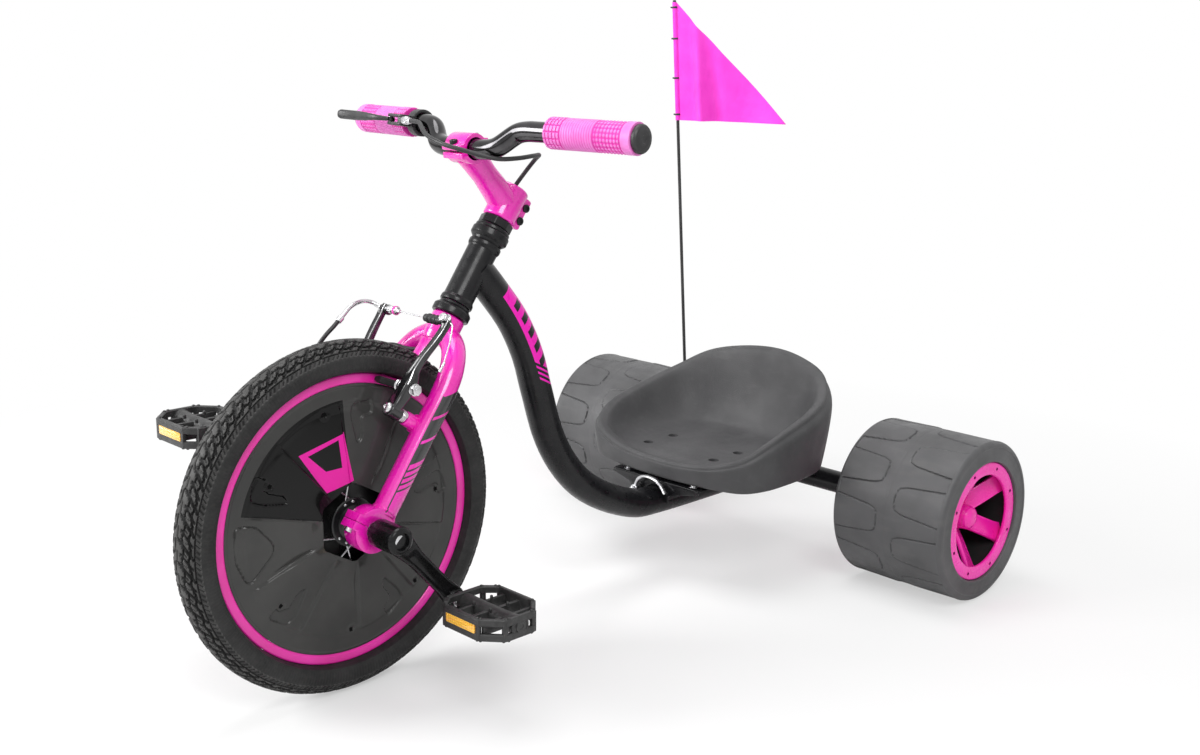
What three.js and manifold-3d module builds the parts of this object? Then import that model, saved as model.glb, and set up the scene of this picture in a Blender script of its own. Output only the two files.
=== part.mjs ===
// A drift trike: a pedalled front wheel in a raked fork, a bent spine tube, a bucket seat
// on a sliding carriage, and two wide slick rear wheels on a cross beam.
// Millimetres. +X is forwards, +Y is the rider's left, +Z is up. The origin is on the
// ground under the middle of the trike.
import * as THREE from "three";
import { mergeVertices } from "three/addons/utils/BufferGeometryUtils.js";
import Module from "manifold-3d";

const wasm = await Module();
wasm.setup();

// Gaps and cutting
const clearance = 0.3; // left between pieces that touch
const overrun = 3; // how far a cutting tool passes the face that it cuts
const joinDepth = 2; // how far welded or moulded forms run into each other
const weldSize = 0.001; // vertices nearer than this are one

// Wheelbase and steering axis
const wheelbase = 736;
const headAngle = 55; // degrees from the ground
const forkRake = 8; // front axle ahead of the steering axis

// Front wheel, 16 inch
const rimOuterRadius = 160;
const rimDepth = 10.6;
const rimInnerRadius = rimOuterRadius - rimDepth;
const frontTyreHeight = 35; // from the rim's edge to the tread
const frontTyreRadius = rimOuterRadius + frontTyreHeight;
const frontTyreWidth = 47;
const frontTyreWall = 5;
const rimWidth = 26;
const rimWall = 2.6;
const coverWall = 2;
const coverHubOffset = 22; // outer face of a cover beside the hub, from the wheel's middle
const coverRimOffset = 12.4; // the same beside the rim
const coverOpening = 45; // centre to corner of the opening round the hub
const coverRelief = 1.2; // how far a pad stands up, or a recess goes in
const hubFlangeRadius = 27;
const hubFlangeOffset = 21;
const hubFlangeWall = 3;
const hubBarrelRadius = 14;
const hubHalfLength = 32;
const spokeRadius = 1;
const spokesPerSide = 7;
const spokeSides = 3;
const spokeCircle = 23;
const spindleRadius = 8.5;

// Cranks and pedals
const crankLength = 111;
const crankAngle = 228.3; // left crank, degrees from forwards, towards up
const crankBossInner = 66; // from the wheel's middle
const crankBossOuter = 108;
const crankBossRadius = 15.5;
const crankArmThickness = 13;
const crankEndRadius = 12;
const crankBoltRadius = 7;
const crankBoltHead = 4;
const pedalAxleRadius = 5;
const pedalAxleCollar = 8.5;
const pedalInner = 113.5; // from the wheel's middle
const pedalWidth = 94;
const pedalLength = 80;
const pedalThickness = 24;
const pedalWall = 9;
const pedalBarrelRadius = 10.5;
const pedalCapRadius = 9;
const reflectorLength = 46;
const reflectorHeight = 10;
const reflectorDepth = 3;

// Fork
const steererRadius = 14.3;
const steererBore = 11;
const crownGap = 51; // from the tread to the crown's top
const crownHeight = frontTyreRadius + crownGap; // above the front axle along the steering axis
const legRadius = 13.5;
const legOffset = 50;
const bearingRadius = 17.5;
const bearingWidth = 14;
const housingRadius = 24.5;
const housingWidth = 22;
const housingOffset = 50; // middle of a bearing housing, from the wheel's middle
const housingLip = 3;
const capEarReach = 29; // end of a clamp ear ahead of or behind the spindle
const capEarHeight = 9;
const capBoltRadius = 4.5;
const capBoltHead = 4;
const crownRaceRadius = 19;
const crownRaceHeight = 5;

// Headset
const cupRadius = 22;
const cupHeight = 15;
const cupSeat = 9; // height of the wide part of a cup
const headTubeRadius = 17.5;
const headTubeBore = 15.6;
const headTubeLength = 78;
const headRaceRadius = 20.5;
const headRaceHeight = 5;
const locknutRadius = 20;
const locknutHeight = 10.4;

// Stem and handlebar
const stemClampRadius = 19;
const stemClampHeight = 42;
const stemReach = 85;
const stemRise = 21; // bar centre above the middle of the steerer clamp
const stemWaistRadius = 15.5;
const stemEarReach = 27.5;
const stemEarWidth = 17;
const stemSlit = 2.5;
const pinchBoltRadius = 5;
const barClampRadius = 17;
const barClampWidth = 34;
const barClampTilt = 45; // degrees, which way the face plate looks above the level of the stem
const faceBoltReach = 15.5;
const faceBoltRadius = 4.5;
const faceBoltHead = 4.5;
const barRadius = 11.1;
const barWall = 2;
const barStraight = 32; // half length of the straight middle
const barKneeOffset = 90; // where the bend ends and the straight grip part starts
const barKneeRise = 27;
const barKneeSetback = 0.5;
const barHalfWidth = 231;
const barEndRise = 37;
const barEndSetback = 16;
const gripLength = 114;
const gripRadius = 16;
const gripBlockRadius = 17.2;
const gripBlockLength = 17;
const gripBandLength = 12;
const plugRadius = 15.2;
const plugThickness = 7;
const plugSpigot = 20;

// Brake lever and barrel
const leverClampOffset = 103; // from the middle of the bar
const leverClampWidth = 13;
const leverClampRadius = 15.5;
const leverTilt = 27; // degrees below the stem's direction
const leverPivotReach = 33;
const leverPivotShift = 12; // outboard of the clamp
const leverPinRadius = 2.5;
const leverBracketHeight = 13;
const leverRootHeight = 5;
const leverBladeHeight = 11;
const leverBladeWidth = 8;
const leverBladeLength = 92;
const leverBladeReach = 15; // blade's middle ahead of the pivot
const adjusterReach = 31;
const adjusterRadius = 4.6;
const adjusterLength = 17;

// Rim brake
const brakePivotDrop = 39; // the pivot below the rim's edge
const brakePivotHeight = rimOuterRadius - brakePivotDrop; // along the steering axis
const brakePivotOffset = 42;
const brakeBossRadius = 8;
const brakeBossReach = 27;
const brakeBoltRadius = 4;
const brakeBoltHeadRadius = 6;
const brakeBoltHead = 4;
const brakeArmFront = 52; // front of the arm at its pivot
const brakeArmLength = 114;
const brakeArmSpread = 15; // an arm's top further out than its pivot
const brakeArmPivotRadius = 8.5;
const brakeWireHeight = 109; // above the pivot
const brakeWireSet = 44; // wire ahead of the steering axis
const brakeWireRadius = 0.8;
const brakeWireBore = 1.3;
const noodleRadius = 2.5;
const noodleHeadRadius = 4.6;
const noodleHeadBore = 3.5; // wide enough for the wire when the arms close
const noodleTipOffset = 27; // tip's distance from the wheel's middle plane
const noodleHeadLength = 22;
const noodleReach = 37; // open end ahead of the arm
const noodleDrop = 33; // open end below the wire
const noodleSweep = 39; // open end further out than the tip
const ferruleRadius = 3.8;
const ferruleLength = 8;
const bootRadius = 5.5;
const bootNeck = 4.4;
const bootBore = 1.3;
const bootLength = 30;
const anchorRadius = 5;
const anchorHead = 4;
const padLength = 50;
const padHeight = 8;
const padThickness = 10;
const padGap = 1.5; // rubber to rim with the lever released
const padPostRise = 29.2; // post above the pivot
const padPostSet = 40; // post ahead of the steering axis
const padPostRadius = 3;
const padNutRadius = 6;
const padNutHeight = 6;
const wireTailDrop = 42; // loose end of the wire, below the clamp
const wireTailSet = 12; // the same, behind the clamp
const wireTailSpread = 5; // the same, outside the clamp
const cableRadius = 2.5;
const cableLead = 8; // straight length of housing at each end
const cableLoopSide = 62; // housing's furthest point from the middle, beside the stem
const cableLoopRise = 33; // its highest point, above the bar
const cableUnderSide = 83; // its furthest point outside the right arm
const cableUnderDrop = 80; // its lowest point, below the wire
const crimpRadius = 1.6;
const crimpLength = 10;

// Spine, rear beam and axle
const spineRadius = 19;
const spineWall = 2.5;
const spineStraight = 250; // ahead of the rear axle
const spineJoinRise = 48.4; // where the spine meets the head tube, above its foot
const beamRadius = 15;
const beamWall = 3;
const beamPlug = 12; // solid end of the beam that carries the axle
const rearAxleRadius = 6;
const rearAxleCollar = 9;
const rearNutRadius = 10;
const rearNutHeight = 7;
const nutSides = 6;
const socketInset = 18; // flag socket, in from the beam's end
const socketRadius = 6;
const socketHeight = 32;

// Rear wheels
const rearTyreRadius = 106;
const rearTyreWidth = 163;
const rearOverallWidth = 702;
const beamGap = 10; // from the beam's end to a wheel
const beamHalfLength = rearOverallWidth / 2 - rearTyreWidth - beamGap;
const rearShoulder = 12;
const rearTyreWall = 7;
const rearHubRadius = 77;
const rearLipWidth = 17;
const rearLipWall = 6;
const rearLipInset = 3;
const rearDishWall = 4;
const rearDishDepth = 46;
const rearBarrelRadius = 18;
const rearBarrelTip = 15.5;
const rearBarrelBore = 14.3;
const rearBarrelInset = 25; // end of the barrel, in from the wheel's outer face
const rearBladeCount = 6;
const rearBladeAngle = 28; // degrees, the first blade
const rearBladeWidth = 21;
const rearBladeWall = 6;
const rearBladeTwist = 32; // degrees
const rearBladeRootInset = 44;
const rearBladeTipInset = 12;
const rearInnerWall = 5;
const rearCapDome = 9;
const cartridgeEnd = 10; // length of each ball race
const cartridgeSleeve = 9.5; // radius of the tube between the races

// Seat carriage
const plateHeight = 131; // underside above the ground
const plateThickness = 3;
const plateFront = 243; // ahead of the rear axle
const plateLength = 118;
const plateHalfWidth = 77;
const saddleWall = 3;
const saddleDrop = 26;
const saddleFoot = 24; // half width of the saddle beside the tube
const seatBoltFront = 193;
const seatBoltSpacing = 50;
const seatBoltOffset = 59;
const seatBoltRadius = 3;
const seatBoltHeadRadius = 5.5;
const seatBoltHead = 3.5;
const seatBoltTop = 158.5;
const seatBoltMargin = 1.5; // round the head in its hole
const plateBoltFront = 231;
const plateBoltRadius = 4;
const plateBoltHead = 2.2;
const lugReach = 13;
const lugRadius = 6;
const lugWidth = 4;
const lugHeight = 117;
const lugOffset = -27; // on the rider's right
const camRadius = 5.5;
const camWidth = 9;
const camPinRadius = 2.4;
const camHandleRadius = 2.6;
const camHandleLength = 48;

// Bucket seat
const seatBase = 137; // underside above the ground
const seatFloor = 163;
const seatBack = -7; // rearmost point of the rim, from the rear axle
const seatLength = 250;
const seatHalfWidth = 149;
const seatRimHeight = 277; // rim at the back, above the ground
const seatLipHeight = 163; // rim at the front
const seatRimRound = 5;
const seatWall = 13;
const seatBulge = 13;
const seatEdge = 4;

// Flag
const flagPoleRadius = 2.3;
const flagPoleLean = 4.1; // degrees outwards
const flagPoleTop = 757; // above the ground
const flagHoist = 169;
const flagFly = 165;
const flagStream = 22; // degrees, how far the cloth streams behind square
const flagFold = 7;
const flagThickness = 1.2;
const flagSleeve = 1;

// Facets round a turned form
const tyreSteps = 36;
const slickSteps = 28;
const roundSteps = 12;
const spineSides = 16;
const tubeSteps = 12;
const rodSteps = 8;
const wireSteps = 5;

const degree = Math.PI / 180;
const up = new THREE.Vector3(0, 0, 1);

function vec(x, y, z) {
  return new THREE.Vector3(x, y, z);
}

// Solids: a three.js geometry goes to a closed solid and back, always facing outwards.
function toSolid(geometry) {
  const bare = new THREE.BufferGeometry();
  bare.setAttribute("position", geometry.getAttribute("position"));
  if (geometry.index) bare.setIndex(geometry.index);
  const merged = mergeVertices(bare, weldSize);
  const index = merged.index.array;
  const triangles = [];
  for (let i = 0; i < index.length; i += 3) {
    const [a, b, c] = [index[i], index[i + 1], index[i + 2]];
    if (a !== b && b !== c && c !== a) triangles.push(a, b, c);
  }
  const make = (list) =>
    new wasm.Manifold(
      new wasm.Mesh({
        numProp: 3,
        vertProperties: new Float32Array(merged.attributes.position.array),
        triVerts: new Uint32Array(list),
      }),
    );
  const made = make(triangles);
  return made.volume() < 0 ? make(triangles.reverse()) : made;
}

function toGeometry(solid) {
  const mesh = solid.getMesh();
  const geometry = new THREE.BufferGeometry();
  geometry.setAttribute("position", new THREE.BufferAttribute(mesh.vertProperties, 3));
  geometry.setIndex(new THREE.BufferAttribute(mesh.triVerts, 1));
  return geometry;
}

function join(...geometries) {
  return toGeometry(geometries.map(toSolid).reduce((a, b) => a.add(b)));
}

function cut(body, ...tools) {
  return toGeometry(tools.map(toSolid).reduce((a, b) => a.subtract(b), toSolid(body)));
}

function common(a, b) {
  return toGeometry(toSolid(a).intersect(toSolid(b)));
}

// Forms. A turned form runs along Y; its profile is a closed list of [radius, distance].
function turned(profile, steps) {
  const points = [...profile, profile[0]].map(([r, y]) => new THREE.Vector2(r, y));
  return new THREE.LatheGeometry(points, steps);
}

function disc(radius, from, to, steps = roundSteps) {
  return turned([[0, from], [radius, from], [radius, to], [0, to]], steps);
}

// The radius of a faceted bore whose flats clear a round piece.
function boreFor(radius, steps = roundSteps) {
  return (radius + clearance) / Math.cos(Math.PI / steps);
}

function ring(inner, outer, from, to, steps = roundSteps) {
  return turned([[inner, from], [outer, from], [outer, to], [inner, to]], steps);
}

// Turns a form that runs along Y so that it runs from one point towards another.
function aim(geometry, from, to) {
  const direction = to.clone().sub(from).normalize();
  const turn = new THREE.Quaternion().setFromUnitVectors(vec(0, 1, 0), direction);
  return geometry.applyQuaternion(turn).translate(from.x, from.y, from.z);
}

function rod(from, to, radius, steps = rodSteps) {
  return aim(disc(radius, 0, from.distanceTo(to), steps), from, to);
}

function block(x, y, z, centre) {
  return new THREE.BoxGeometry(x, y, z).translate(centre.x, centre.y, centre.z);
}

function circle(radius, steps) {
  const shape = new THREE.Shape();
  for (let i = 0; i < steps; i++) {
    const a = (2 * Math.PI * i) / steps;
    if (i === 0) shape.moveTo(radius * Math.cos(a), radius * Math.sin(a));
    else shape.lineTo(radius * Math.cos(a), radius * Math.sin(a));
  }
  shape.closePath();
  return shape;
}

function tube(points, radius, steps, sides, bore = 0) {
  const shape = circle(radius, sides);
  if (bore) shape.holes.push(circle(bore, rodSteps));
  const path = new THREE.CatmullRomCurve3(points, false, "centripetal");
  return new THREE.ExtrudeGeometry(shape, { extrudePath: path, steps, bevelEnabled: false });
}

// A flat outline of [a, b] points, thickness along +Z from 0.
function plate(outline, thickness) {
  const shape = new THREE.Shape(outline.map(([a, b]) => new THREE.Vector2(a, b)));
  return new THREE.ExtrudeGeometry(shape, { depth: thickness, bevelEnabled: false });
}

// The same outline in X and Z, thickness along +Y from a given distance.
function sidePlate(outline, thickness, from) {
  return plate(outline, thickness).rotateX(Math.PI / 2).translate(0, from + thickness, 0);
}

// The same outline in Y and Z, thickness along +X from a given distance.
function frontPlate(outline, thickness, from) {
  return plate(outline, thickness).rotateX(Math.PI / 2).rotateZ(Math.PI / 2).translate(from, 0, 0);
}

// A skin through rings of points, closed at both ends on each end ring's middle.
function loft(rings) {
  const positions = [];
  const index = [];
  const count = rings[0].length;
  for (const points of rings) for (const p of points) positions.push(p.x, p.y, p.z);
  for (let r = 0; r + 1 < rings.length; r++) {
    for (let i = 0; i < count; i++) {
      const j = (i + 1) % count;
      const [a, b] = [r * count + i, r * count + j];
      index.push(a, b, b + count, a, b + count, a + count);
    }
  }
  for (const [r, flip] of [[0, true], [rings.length - 1, false]]) {
    const middle = rings[r].reduce((sum, p) => sum.add(p), vec(0, 0, 0)).divideScalar(count);
    const centre = positions.length / 3;
    positions.push(middle.x, middle.y, middle.z);
    for (let i = 0; i < count; i++) {
      const [a, b] = [r * count + i, r * count + ((i + 1) % count)];
      if (flip) index.push(b, a, centre);
      else index.push(a, b, centre);
    }
  }
  const geometry = new THREE.BufferGeometry();
  geometry.setAttribute("position", new THREE.Float32BufferAttribute(positions, 3));
  geometry.setIndex(index);
  return geometry;
}

function mirrored(geometry) {
  return geometry.clone().scale(1, -1, 1);
}

// Finishes
const finish = (color, roughness, metalness) =>
  new THREE.MeshStandardMaterial({ color, roughness, metalness });
const pinkPaint = () => finish(0xe832a8, 0.3, 0.2);
const blackPaint = () => finish(0x16161a, 0.4, 0.3);
const darkChrome = () => finish(0x3a3a3e, 0.2, 0.9);
const brightSteel = () => finish(0xb8b8bc, 0.25, 1);
const blackPlastic = () => finish(0x202022, 0.55, 0);
const pinkPlastic = () => finish(0xf02fae, 0.4, 0);
const tyreRubber = () => finish(0x1d1d1e, 0.85, 0);
const seatPlastic = () => finish(0x2b2b2d, 0.65, 0);
const slickPlastic = () => finish(0x38383a, 0.6, 0);
const amber = () => finish(0xf29a12, 0.2, 0);
const pinkCloth = () => finish(0xee3fb4, 0.8, 0);

function add(group, name, geometry, material) {
  const mesh = new THREE.Mesh(toGeometry(toSolid(geometry)), material);
  mesh.name = name;
  group.add(mesh);
}

const trike = new THREE.Group();

// Places that several assemblies share
const rearAxleX = (rearTyreRadius - frontTyreRadius - wheelbase) / 2;
const frontAxleX = rearAxleX + wheelbase;
const steering = new THREE.Group(); // its Z is the steering axis and its X looks forwards
const headTilt = (90 - headAngle) * degree;
steering.position.set(
  frontAxleX - forkRake * Math.cos(headTilt),
  0,
  frontTyreRadius - forkRake * Math.sin(headTilt),
);
steering.rotation.y = -headTilt;
steering.updateMatrixWorld(true);
trike.add(steering);
const onSteering = (x, y, z) => vec(x, y, z).applyMatrix4(steering.matrixWorld);

const lowerCupFoot = crownHeight + crownRaceHeight + clearance;
const headTubeFoot = lowerCupFoot + cupHeight + clearance;
const upperCupFoot = headTubeFoot + headTubeLength + clearance;
const headRaceFoot = upperCupFoot + cupHeight + clearance;
const locknutFoot = headRaceFoot + headRaceHeight + clearance;
const stemFoot = locknutFoot + locknutHeight + clearance;
const stemTop = stemFoot + stemClampHeight;
const barHeight = stemFoot + stemClampHeight / 2 + stemRise;

// Frame: head tube, spine and rear beam welded into one, with the flag's socket.
function spinePath() {
  const start = vec(rearAxleX + spineStraight, 0, rearTyreRadius);
  const end = onSteering(0, 0, headTubeFoot + spineJoinRise);
  const run = end.x - start.x;
  const rise = end.z - start.z;
  const bendShares = [
    [0.1, 0.008],
    [0.29, 0.071],
    [0.44, 0.155],
    [0.547, 0.258],
    [0.62, 0.37],
    [0.687, 0.546],
    [0.733, 0.673],
    [0.808, 0.799],
    [0.909, 0.91],
  ];
  const bend = bendShares.map(([x, z]) => vec(start.x + run * x, 0, start.z + rise * z));
  return [start, ...bend, end];
}

function frameBody() {
  const bends = spinePath();
  const rear = vec(rearAxleX, 0, rearTyreRadius);
  const rearSteps = 14;
  const outer = tube([rear, ...bends], spineRadius, rearSteps, spineSides);
  const hollowStart = vec(rearAxleX + beamRadius + spineWall, 0, rearTyreRadius);
  const hollow = tube([hollowStart, ...bends], spineRadius - spineWall, rearSteps / 2, rodSteps);
  const headFoot = onSteering(0, 0, headTubeFoot);
  const headTop = onSteering(0, 0, headTubeFoot + headTubeLength);
  const head = rod(headFoot, headTop, headTubeRadius, roundSteps);
  const past = overrun;
  const boreFrom = onSteering(0, 0, headTubeFoot - past);
  const boreTo = onSteering(0, 0, headTubeFoot + headTubeLength + past);
  const headBore = rod(boreFrom, boreTo, headTubeBore, roundSteps);
  const beamAt = (g) => g.translate(rearAxleX, 0, rearTyreRadius);
  const beam = beamAt(disc(beamRadius, -beamHalfLength, beamHalfLength, tubeSteps));
  const hollowEnd = beamHalfLength - beamPlug;
  const beamHollow = beamAt(disc(beamRadius - beamWall, -hollowEnd, hollowEnd, rodSteps));
  const boreEnd = beamHalfLength + overrun;
  const beamBore = beamAt(disc(boreFor(rearAxleRadius, rodSteps), -boreEnd, boreEnd, rodSteps));
  const [foot, tip] = flagLine();
  const direction = tip.clone().sub(foot).normalize();
  const socketFoot = foot.clone().addScaledVector(direction, beamRadius - joinDepth);
  const socketTop = socketFoot.clone().addScaledVector(direction, socketHeight);
  const socket = rod(socketFoot, socketTop, socketRadius, rodSteps);
  const poleFoot = foot.clone().addScaledVector(direction, beamRadius + joinDepth);
  const poleHole = rod(poleFoot, tip, flagPoleRadius + clearance, wireSteps);
  return cut(join(outer, head, beam, socket), hollow, headBore, beamHollow, beamBore, poleHole);
}

// The flag pole's line, from the middle of the beam to the pole's tip.
function flagLine() {
  const foot = vec(rearAxleX, socketInset - beamHalfLength, rearTyreRadius);
  const height = flagPoleTop - rearTyreRadius;
  const tip = vec(foot.x, foot.y - height * Math.tan(flagPoleLean * degree), flagPoleTop);
  return [foot, tip];
}

add(trike, "frame", frameBody(), blackPaint());

// Headset: two pressed cups, the adjusting race and the locknut
function cup(foot, wideFirst) {
  const bore = steererRadius + 2 * clearance;
  const neck = headTubeRadius;
  const wide = wideFirst ? [0, cupSeat] : [cupHeight - cupSeat, cupHeight];
  const profile = wideFirst
    ? [[bore, 0], [cupRadius, 0], [cupRadius, wide[1]], [neck, cupHeight], [bore, cupHeight]]
    : [[bore, 0], [neck, 0], [cupRadius, wide[0]], [cupRadius, cupHeight], [bore, cupHeight]];
  return turned(profile, roundSteps).rotateX(Math.PI / 2).translate(0, 0, foot);
}

add(steering, "headset_cup_lower", cup(lowerCupFoot, true), blackPaint());
add(steering, "headset_cup_upper", cup(upperCupFoot, false), blackPaint());
const alongAxis = (geometry, foot) => geometry.rotateX(Math.PI / 2).translate(0, 0, foot);
const steererFit = boreFor(steererRadius);
add(
  steering,
  "headset_race",
  alongAxis(ring(steererFit, headRaceRadius, 0, headRaceHeight), headRaceFoot),
  blackPaint(),
);
const locknutSides = 8;
const locknutFlats = disc(locknutRadius, 0, locknutHeight, locknutSides);
const locknutBore = disc(steererFit, -overrun, locknutHeight + overrun);
const locknut = alongAxis(cut(locknutFlats, locknutBore), locknutFoot);
add(steering, "headset_locknut", locknut, blackPaint());

// Fork: hollow steerer, curved crown, legs, brake bosses with their bolts, and the upper
// halves of the bearing housings
function forkLeg() {
  const bendShares = [
    [0.2, 0.02],
    [0.62, 0.07],
    [0.9, 0.17],
    [1, 0.28],
    [1, 0.5],
  ];
  const top = crownHeight - legRadius;
  const bend = bendShares.map(([y, z]) => vec(0, legOffset * y, top * (1 - z)));
  const path = [...bend, vec(0, legOffset, housingRadius - joinDepth * 2)];
  const legSteps = 9;
  return tube(path, legRadius, legSteps, tubeSteps);
}

// A form that the spindle passes, moved to the front axle.
const atAxle = (geometry) => geometry.translate(forkRake, 0, 0);
const housingFrom = housingOffset - housingWidth / 2;
const housingTo = housingOffset + housingWidth / 2;
const splitGap = clearance;

function housingHalf(sign) {
  const drum = disc(housingRadius, housingFrom, housingTo);
  const earHeight = capEarHeight;
  const earMiddle = vec(0, housingOffset, (sign * earHeight) / 2);
  const ears = block(2 * capEarReach, housingWidth, earHeight, earMiddle);
  const bore = disc(boreFor(bearingRadius), housingFrom - overrun, housingTo - housingLip);
  const mouth = disc(spindleRadius + joinDepth, housingFrom, housingTo + overrun);
  const size = 4 * housingRadius;
  const other = block(size, size, size, vec(0, housingOffset, -sign * (size - splitGap) / 2));
  return atAxle(cut(join(drum, ears), bore, mouth, other));
}

function brakeBoss() {
  const at = (x) => vec(x, brakePivotOffset, brakePivotHeight);
  const boss = rod(at(0), at(brakeBossReach), brakeBossRadius, tubeSteps);
  const bolt = rod(at(0), at(brakeArmFront + 2 * clearance), brakeBoltRadius);
  const headFrom = brakeArmFront + clearance;
  const head = rod(at(headFrom), at(headFrom + brakeBoltHead), brakeBoltHeadRadius);
  return join(boss, bolt, head);
}

function forkBody() {
  const steerer = alongAxis(disc(steererRadius, 0, stemTop - crownHeight + joinDepth), 0);
  steerer.translate(0, 0, crownHeight - joinDepth);
  const race = alongAxis(disc(crownRaceRadius, 0, crownRaceHeight), crownHeight);
  const neck = alongAxis(disc(crownRaceRadius, 0, 2 * legRadius), crownHeight - 2 * legRadius);
  const side = [forkLeg(), housingHalf(1), brakeBoss()];
  const solid = join(steerer, race, neck, ...side, ...side.map(mirrored));
  const boreFoot = crownHeight - 2 * legRadius - 3 * overrun;
  const bore = alongAxis(disc(steererBore, 0, stemTop - boreFoot + overrun), boreFoot);
  return cut(solid, bore);
}

add(steering, "fork", forkBody(), pinkPaint());

function bearingCap() {
  const boltAt = (x) => {
    const head = vec(forkRake + x, housingOffset, -capEarHeight - capBoltHead);
    return rod(head, vec(head.x, head.y, -capEarHeight + joinDepth), capBoltRadius);
  };
  const boltReach = capEarReach - capBoltRadius;
  return join(housingHalf(-1), boltAt(boltReach), boltAt(-boltReach));
}

function frontBearing() {
  const from = housingTo - housingLip - clearance - bearingWidth;
  return atAxle(ring(boreFor(spindleRadius), bearingRadius, from, from + bearingWidth));
}

for (const [side, place] of [["left", (g) => g], ["right", mirrored]]) {
  add(steering, "bearing_cap_" + side, place(bearingCap()), pinkPaint());
  add(steering, "front_bearing_" + side, place(frontBearing()), brightSteel());
}

// Stem: a clamp on the steerer, a waisted arm, and a clamp on the bar closed by a face plate
const barCentre = vec(stemReach, 0, barHeight);
const clampMiddle = vec(0, 0, stemFoot + stemClampHeight / 2);
const faceNormal = vec(Math.cos(barClampTilt * degree), 0, Math.sin(barClampTilt * degree));
const faceAlong = vec(-Math.sin(barClampTilt * degree), 0, Math.cos(barClampTilt * degree));

// The half of the bar clamp on one side of its split, sign +1 for the face plate.
function barClampHalf(sign) {
  const drum = disc(barClampRadius, -barClampWidth / 2, barClampWidth / 2);
  const earSize = 2 * (faceBoltReach + faceBoltRadius);
  const ears = block(2 * faceBoltHead, barClampWidth / 2, earSize, vec(sign * faceBoltHead, 0, 0));
  const size = 4 * barClampRadius;
  const other = block(size, size, size, vec(-sign * (size - stemSlit) / 2, 0, 0));
  const bore = disc(boreFor(barRadius), -size, size);
  const half = cut(join(drum, ears), bore, other);
  return half.rotateY(-barClampTilt * degree).translate(barCentre.x, 0, barCentre.z);
}

function stemBody() {
  const clamp = alongAxis(disc(stemClampRadius, 0, stemClampHeight), stemFoot);
  const arm = barCentre.clone().sub(clampMiddle);
  const length = arm.length();
  const waistShares = [
    [0, 1.06],
    [0.55, 1],
    [1, 1.1],
  ];
  const profile = waistShares.map(([y, r]) => [stemWaistRadius * r, length * y]);
  const waist = aim(turned([[0, 0], ...profile, [0, length]], tubeSteps), clampMiddle, barCentre);
  const earHeight = stemClampHeight - 2 * joinDepth;
  const ear = block(
    stemEarReach,
    stemEarWidth,
    earHeight,
    vec(-stemEarReach / 2, 0, clampMiddle.z),
  );
  const bolts = [1, -1].map((sign) => {
    const z = clampMiddle.z + (sign * stemClampHeight) / 5;
    const x = -stemEarReach + pinchBoltRadius;
    const reach = stemEarWidth / 2 + joinDepth;
    return rod(vec(x, -reach, z), vec(x, reach, z), pinchBoltRadius);
  });
  const bore = alongAxis(disc(steererRadius + clearance, 0, stemClampHeight + 2 * overrun), stemFoot);
  bore.translate(0, 0, -overrun);
  const barBore = disc(boreFor(barRadius), -barClampWidth, barClampWidth);
  barBore.translate(barCentre.x, 0, barCentre.z);
  const faceSize = 4 * barClampRadius;
  const faceSide = block(faceSize, faceSize, faceSize, vec((faceSize - stemSlit) / 2, 0, 0));
  faceSide.rotateY(-barClampTilt * degree).translate(barCentre.x, 0, barCentre.z);
  const slitReach = stemEarReach - 2 * pinchBoltRadius - clearance;
  const slit = block(slitReach, stemSlit, 2 * stemClampHeight, vec(-slitReach / 2, 0, clampMiddle.z));
  const arms = cut(join(waist, clamp, ear), faceSide);
  return cut(join(arms, barClampHalf(-1), ...bolts), bore, barBore, slit);
}

function facePlate() {
  const bolts = [1, -1].map((sign) => {
    const foot = barCentre.clone().addScaledVector(faceAlong, sign * faceBoltReach);
    const from = foot.clone().addScaledVector(faceNormal, stemSlit);
    const to = foot.clone().addScaledVector(faceNormal, 2 * faceBoltHead + faceBoltHead);
    return rod(from, to, faceBoltRadius);
  });
  const barBore = disc(boreFor(barRadius), -barClampWidth, barClampWidth);
  barBore.translate(barCentre.x, 0, barCentre.z);
  return cut(join(barClampHalf(1), ...bolts), barBore);
}

add(steering, "stem", stemBody(), pinkPaint());
add(steering, "stem_face_plate", facePlate(), pinkPaint());

// Handlebar: a straight middle, a low rise on each side and straight swept ends
const barKnee = vec(stemReach - barKneeSetback, barKneeOffset, barHeight + barKneeRise);
const barEnd = vec(stemReach - barEndSetback, barHalfWidth, barHeight + barEndRise);
const barDirection = barEnd.clone().sub(barKnee).normalize();
const flipY = (p) => vec(p.x, -p.y, p.z);
// A point of the straight left end, a distance inboard of its tip.
const onBarEnd = (inboard) => barEnd.clone().addScaledVector(barDirection, -inboard);

function handlebarBody() {
  const riseShares = [
    [0.3, 0.14],
    [0.7, 0.86],
  ];
  const kneeRun = barKneeOffset - barStraight;
  const onRise = ([y, z]) => vec(stemReach, barStraight + kneeRun * y, barHeight + barKneeRise * z);
  const flat = [barStraight / 2, barStraight].map((y) => vec(stemReach, y, barHeight));
  const past = barKnee.clone().addScaledVector(barDirection, joinDepth);
  const left = [...flat, ...riseShares.map(onRise), barKnee, past];
  const path = [...left.map(flipY).reverse(), ...left];
  const barSteps = 12;
  const middle = tube(path, barRadius, barSteps, roundSteps);
  const end = rod(barKnee, barEnd, barRadius, roundSteps);
  const beyond = barEnd.clone().addScaledVector(barDirection, overrun);
  const bore = rod(onBarEnd(gripLength), beyond, barRadius - barWall, rodSteps);
  return cut(join(middle, end, mirrored(end)), bore, mirrored(bore));
}

add(steering, "handlebar", handlebarBody(), darkChrome());

const gripFoot = onBarEnd(gripLength);

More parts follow.
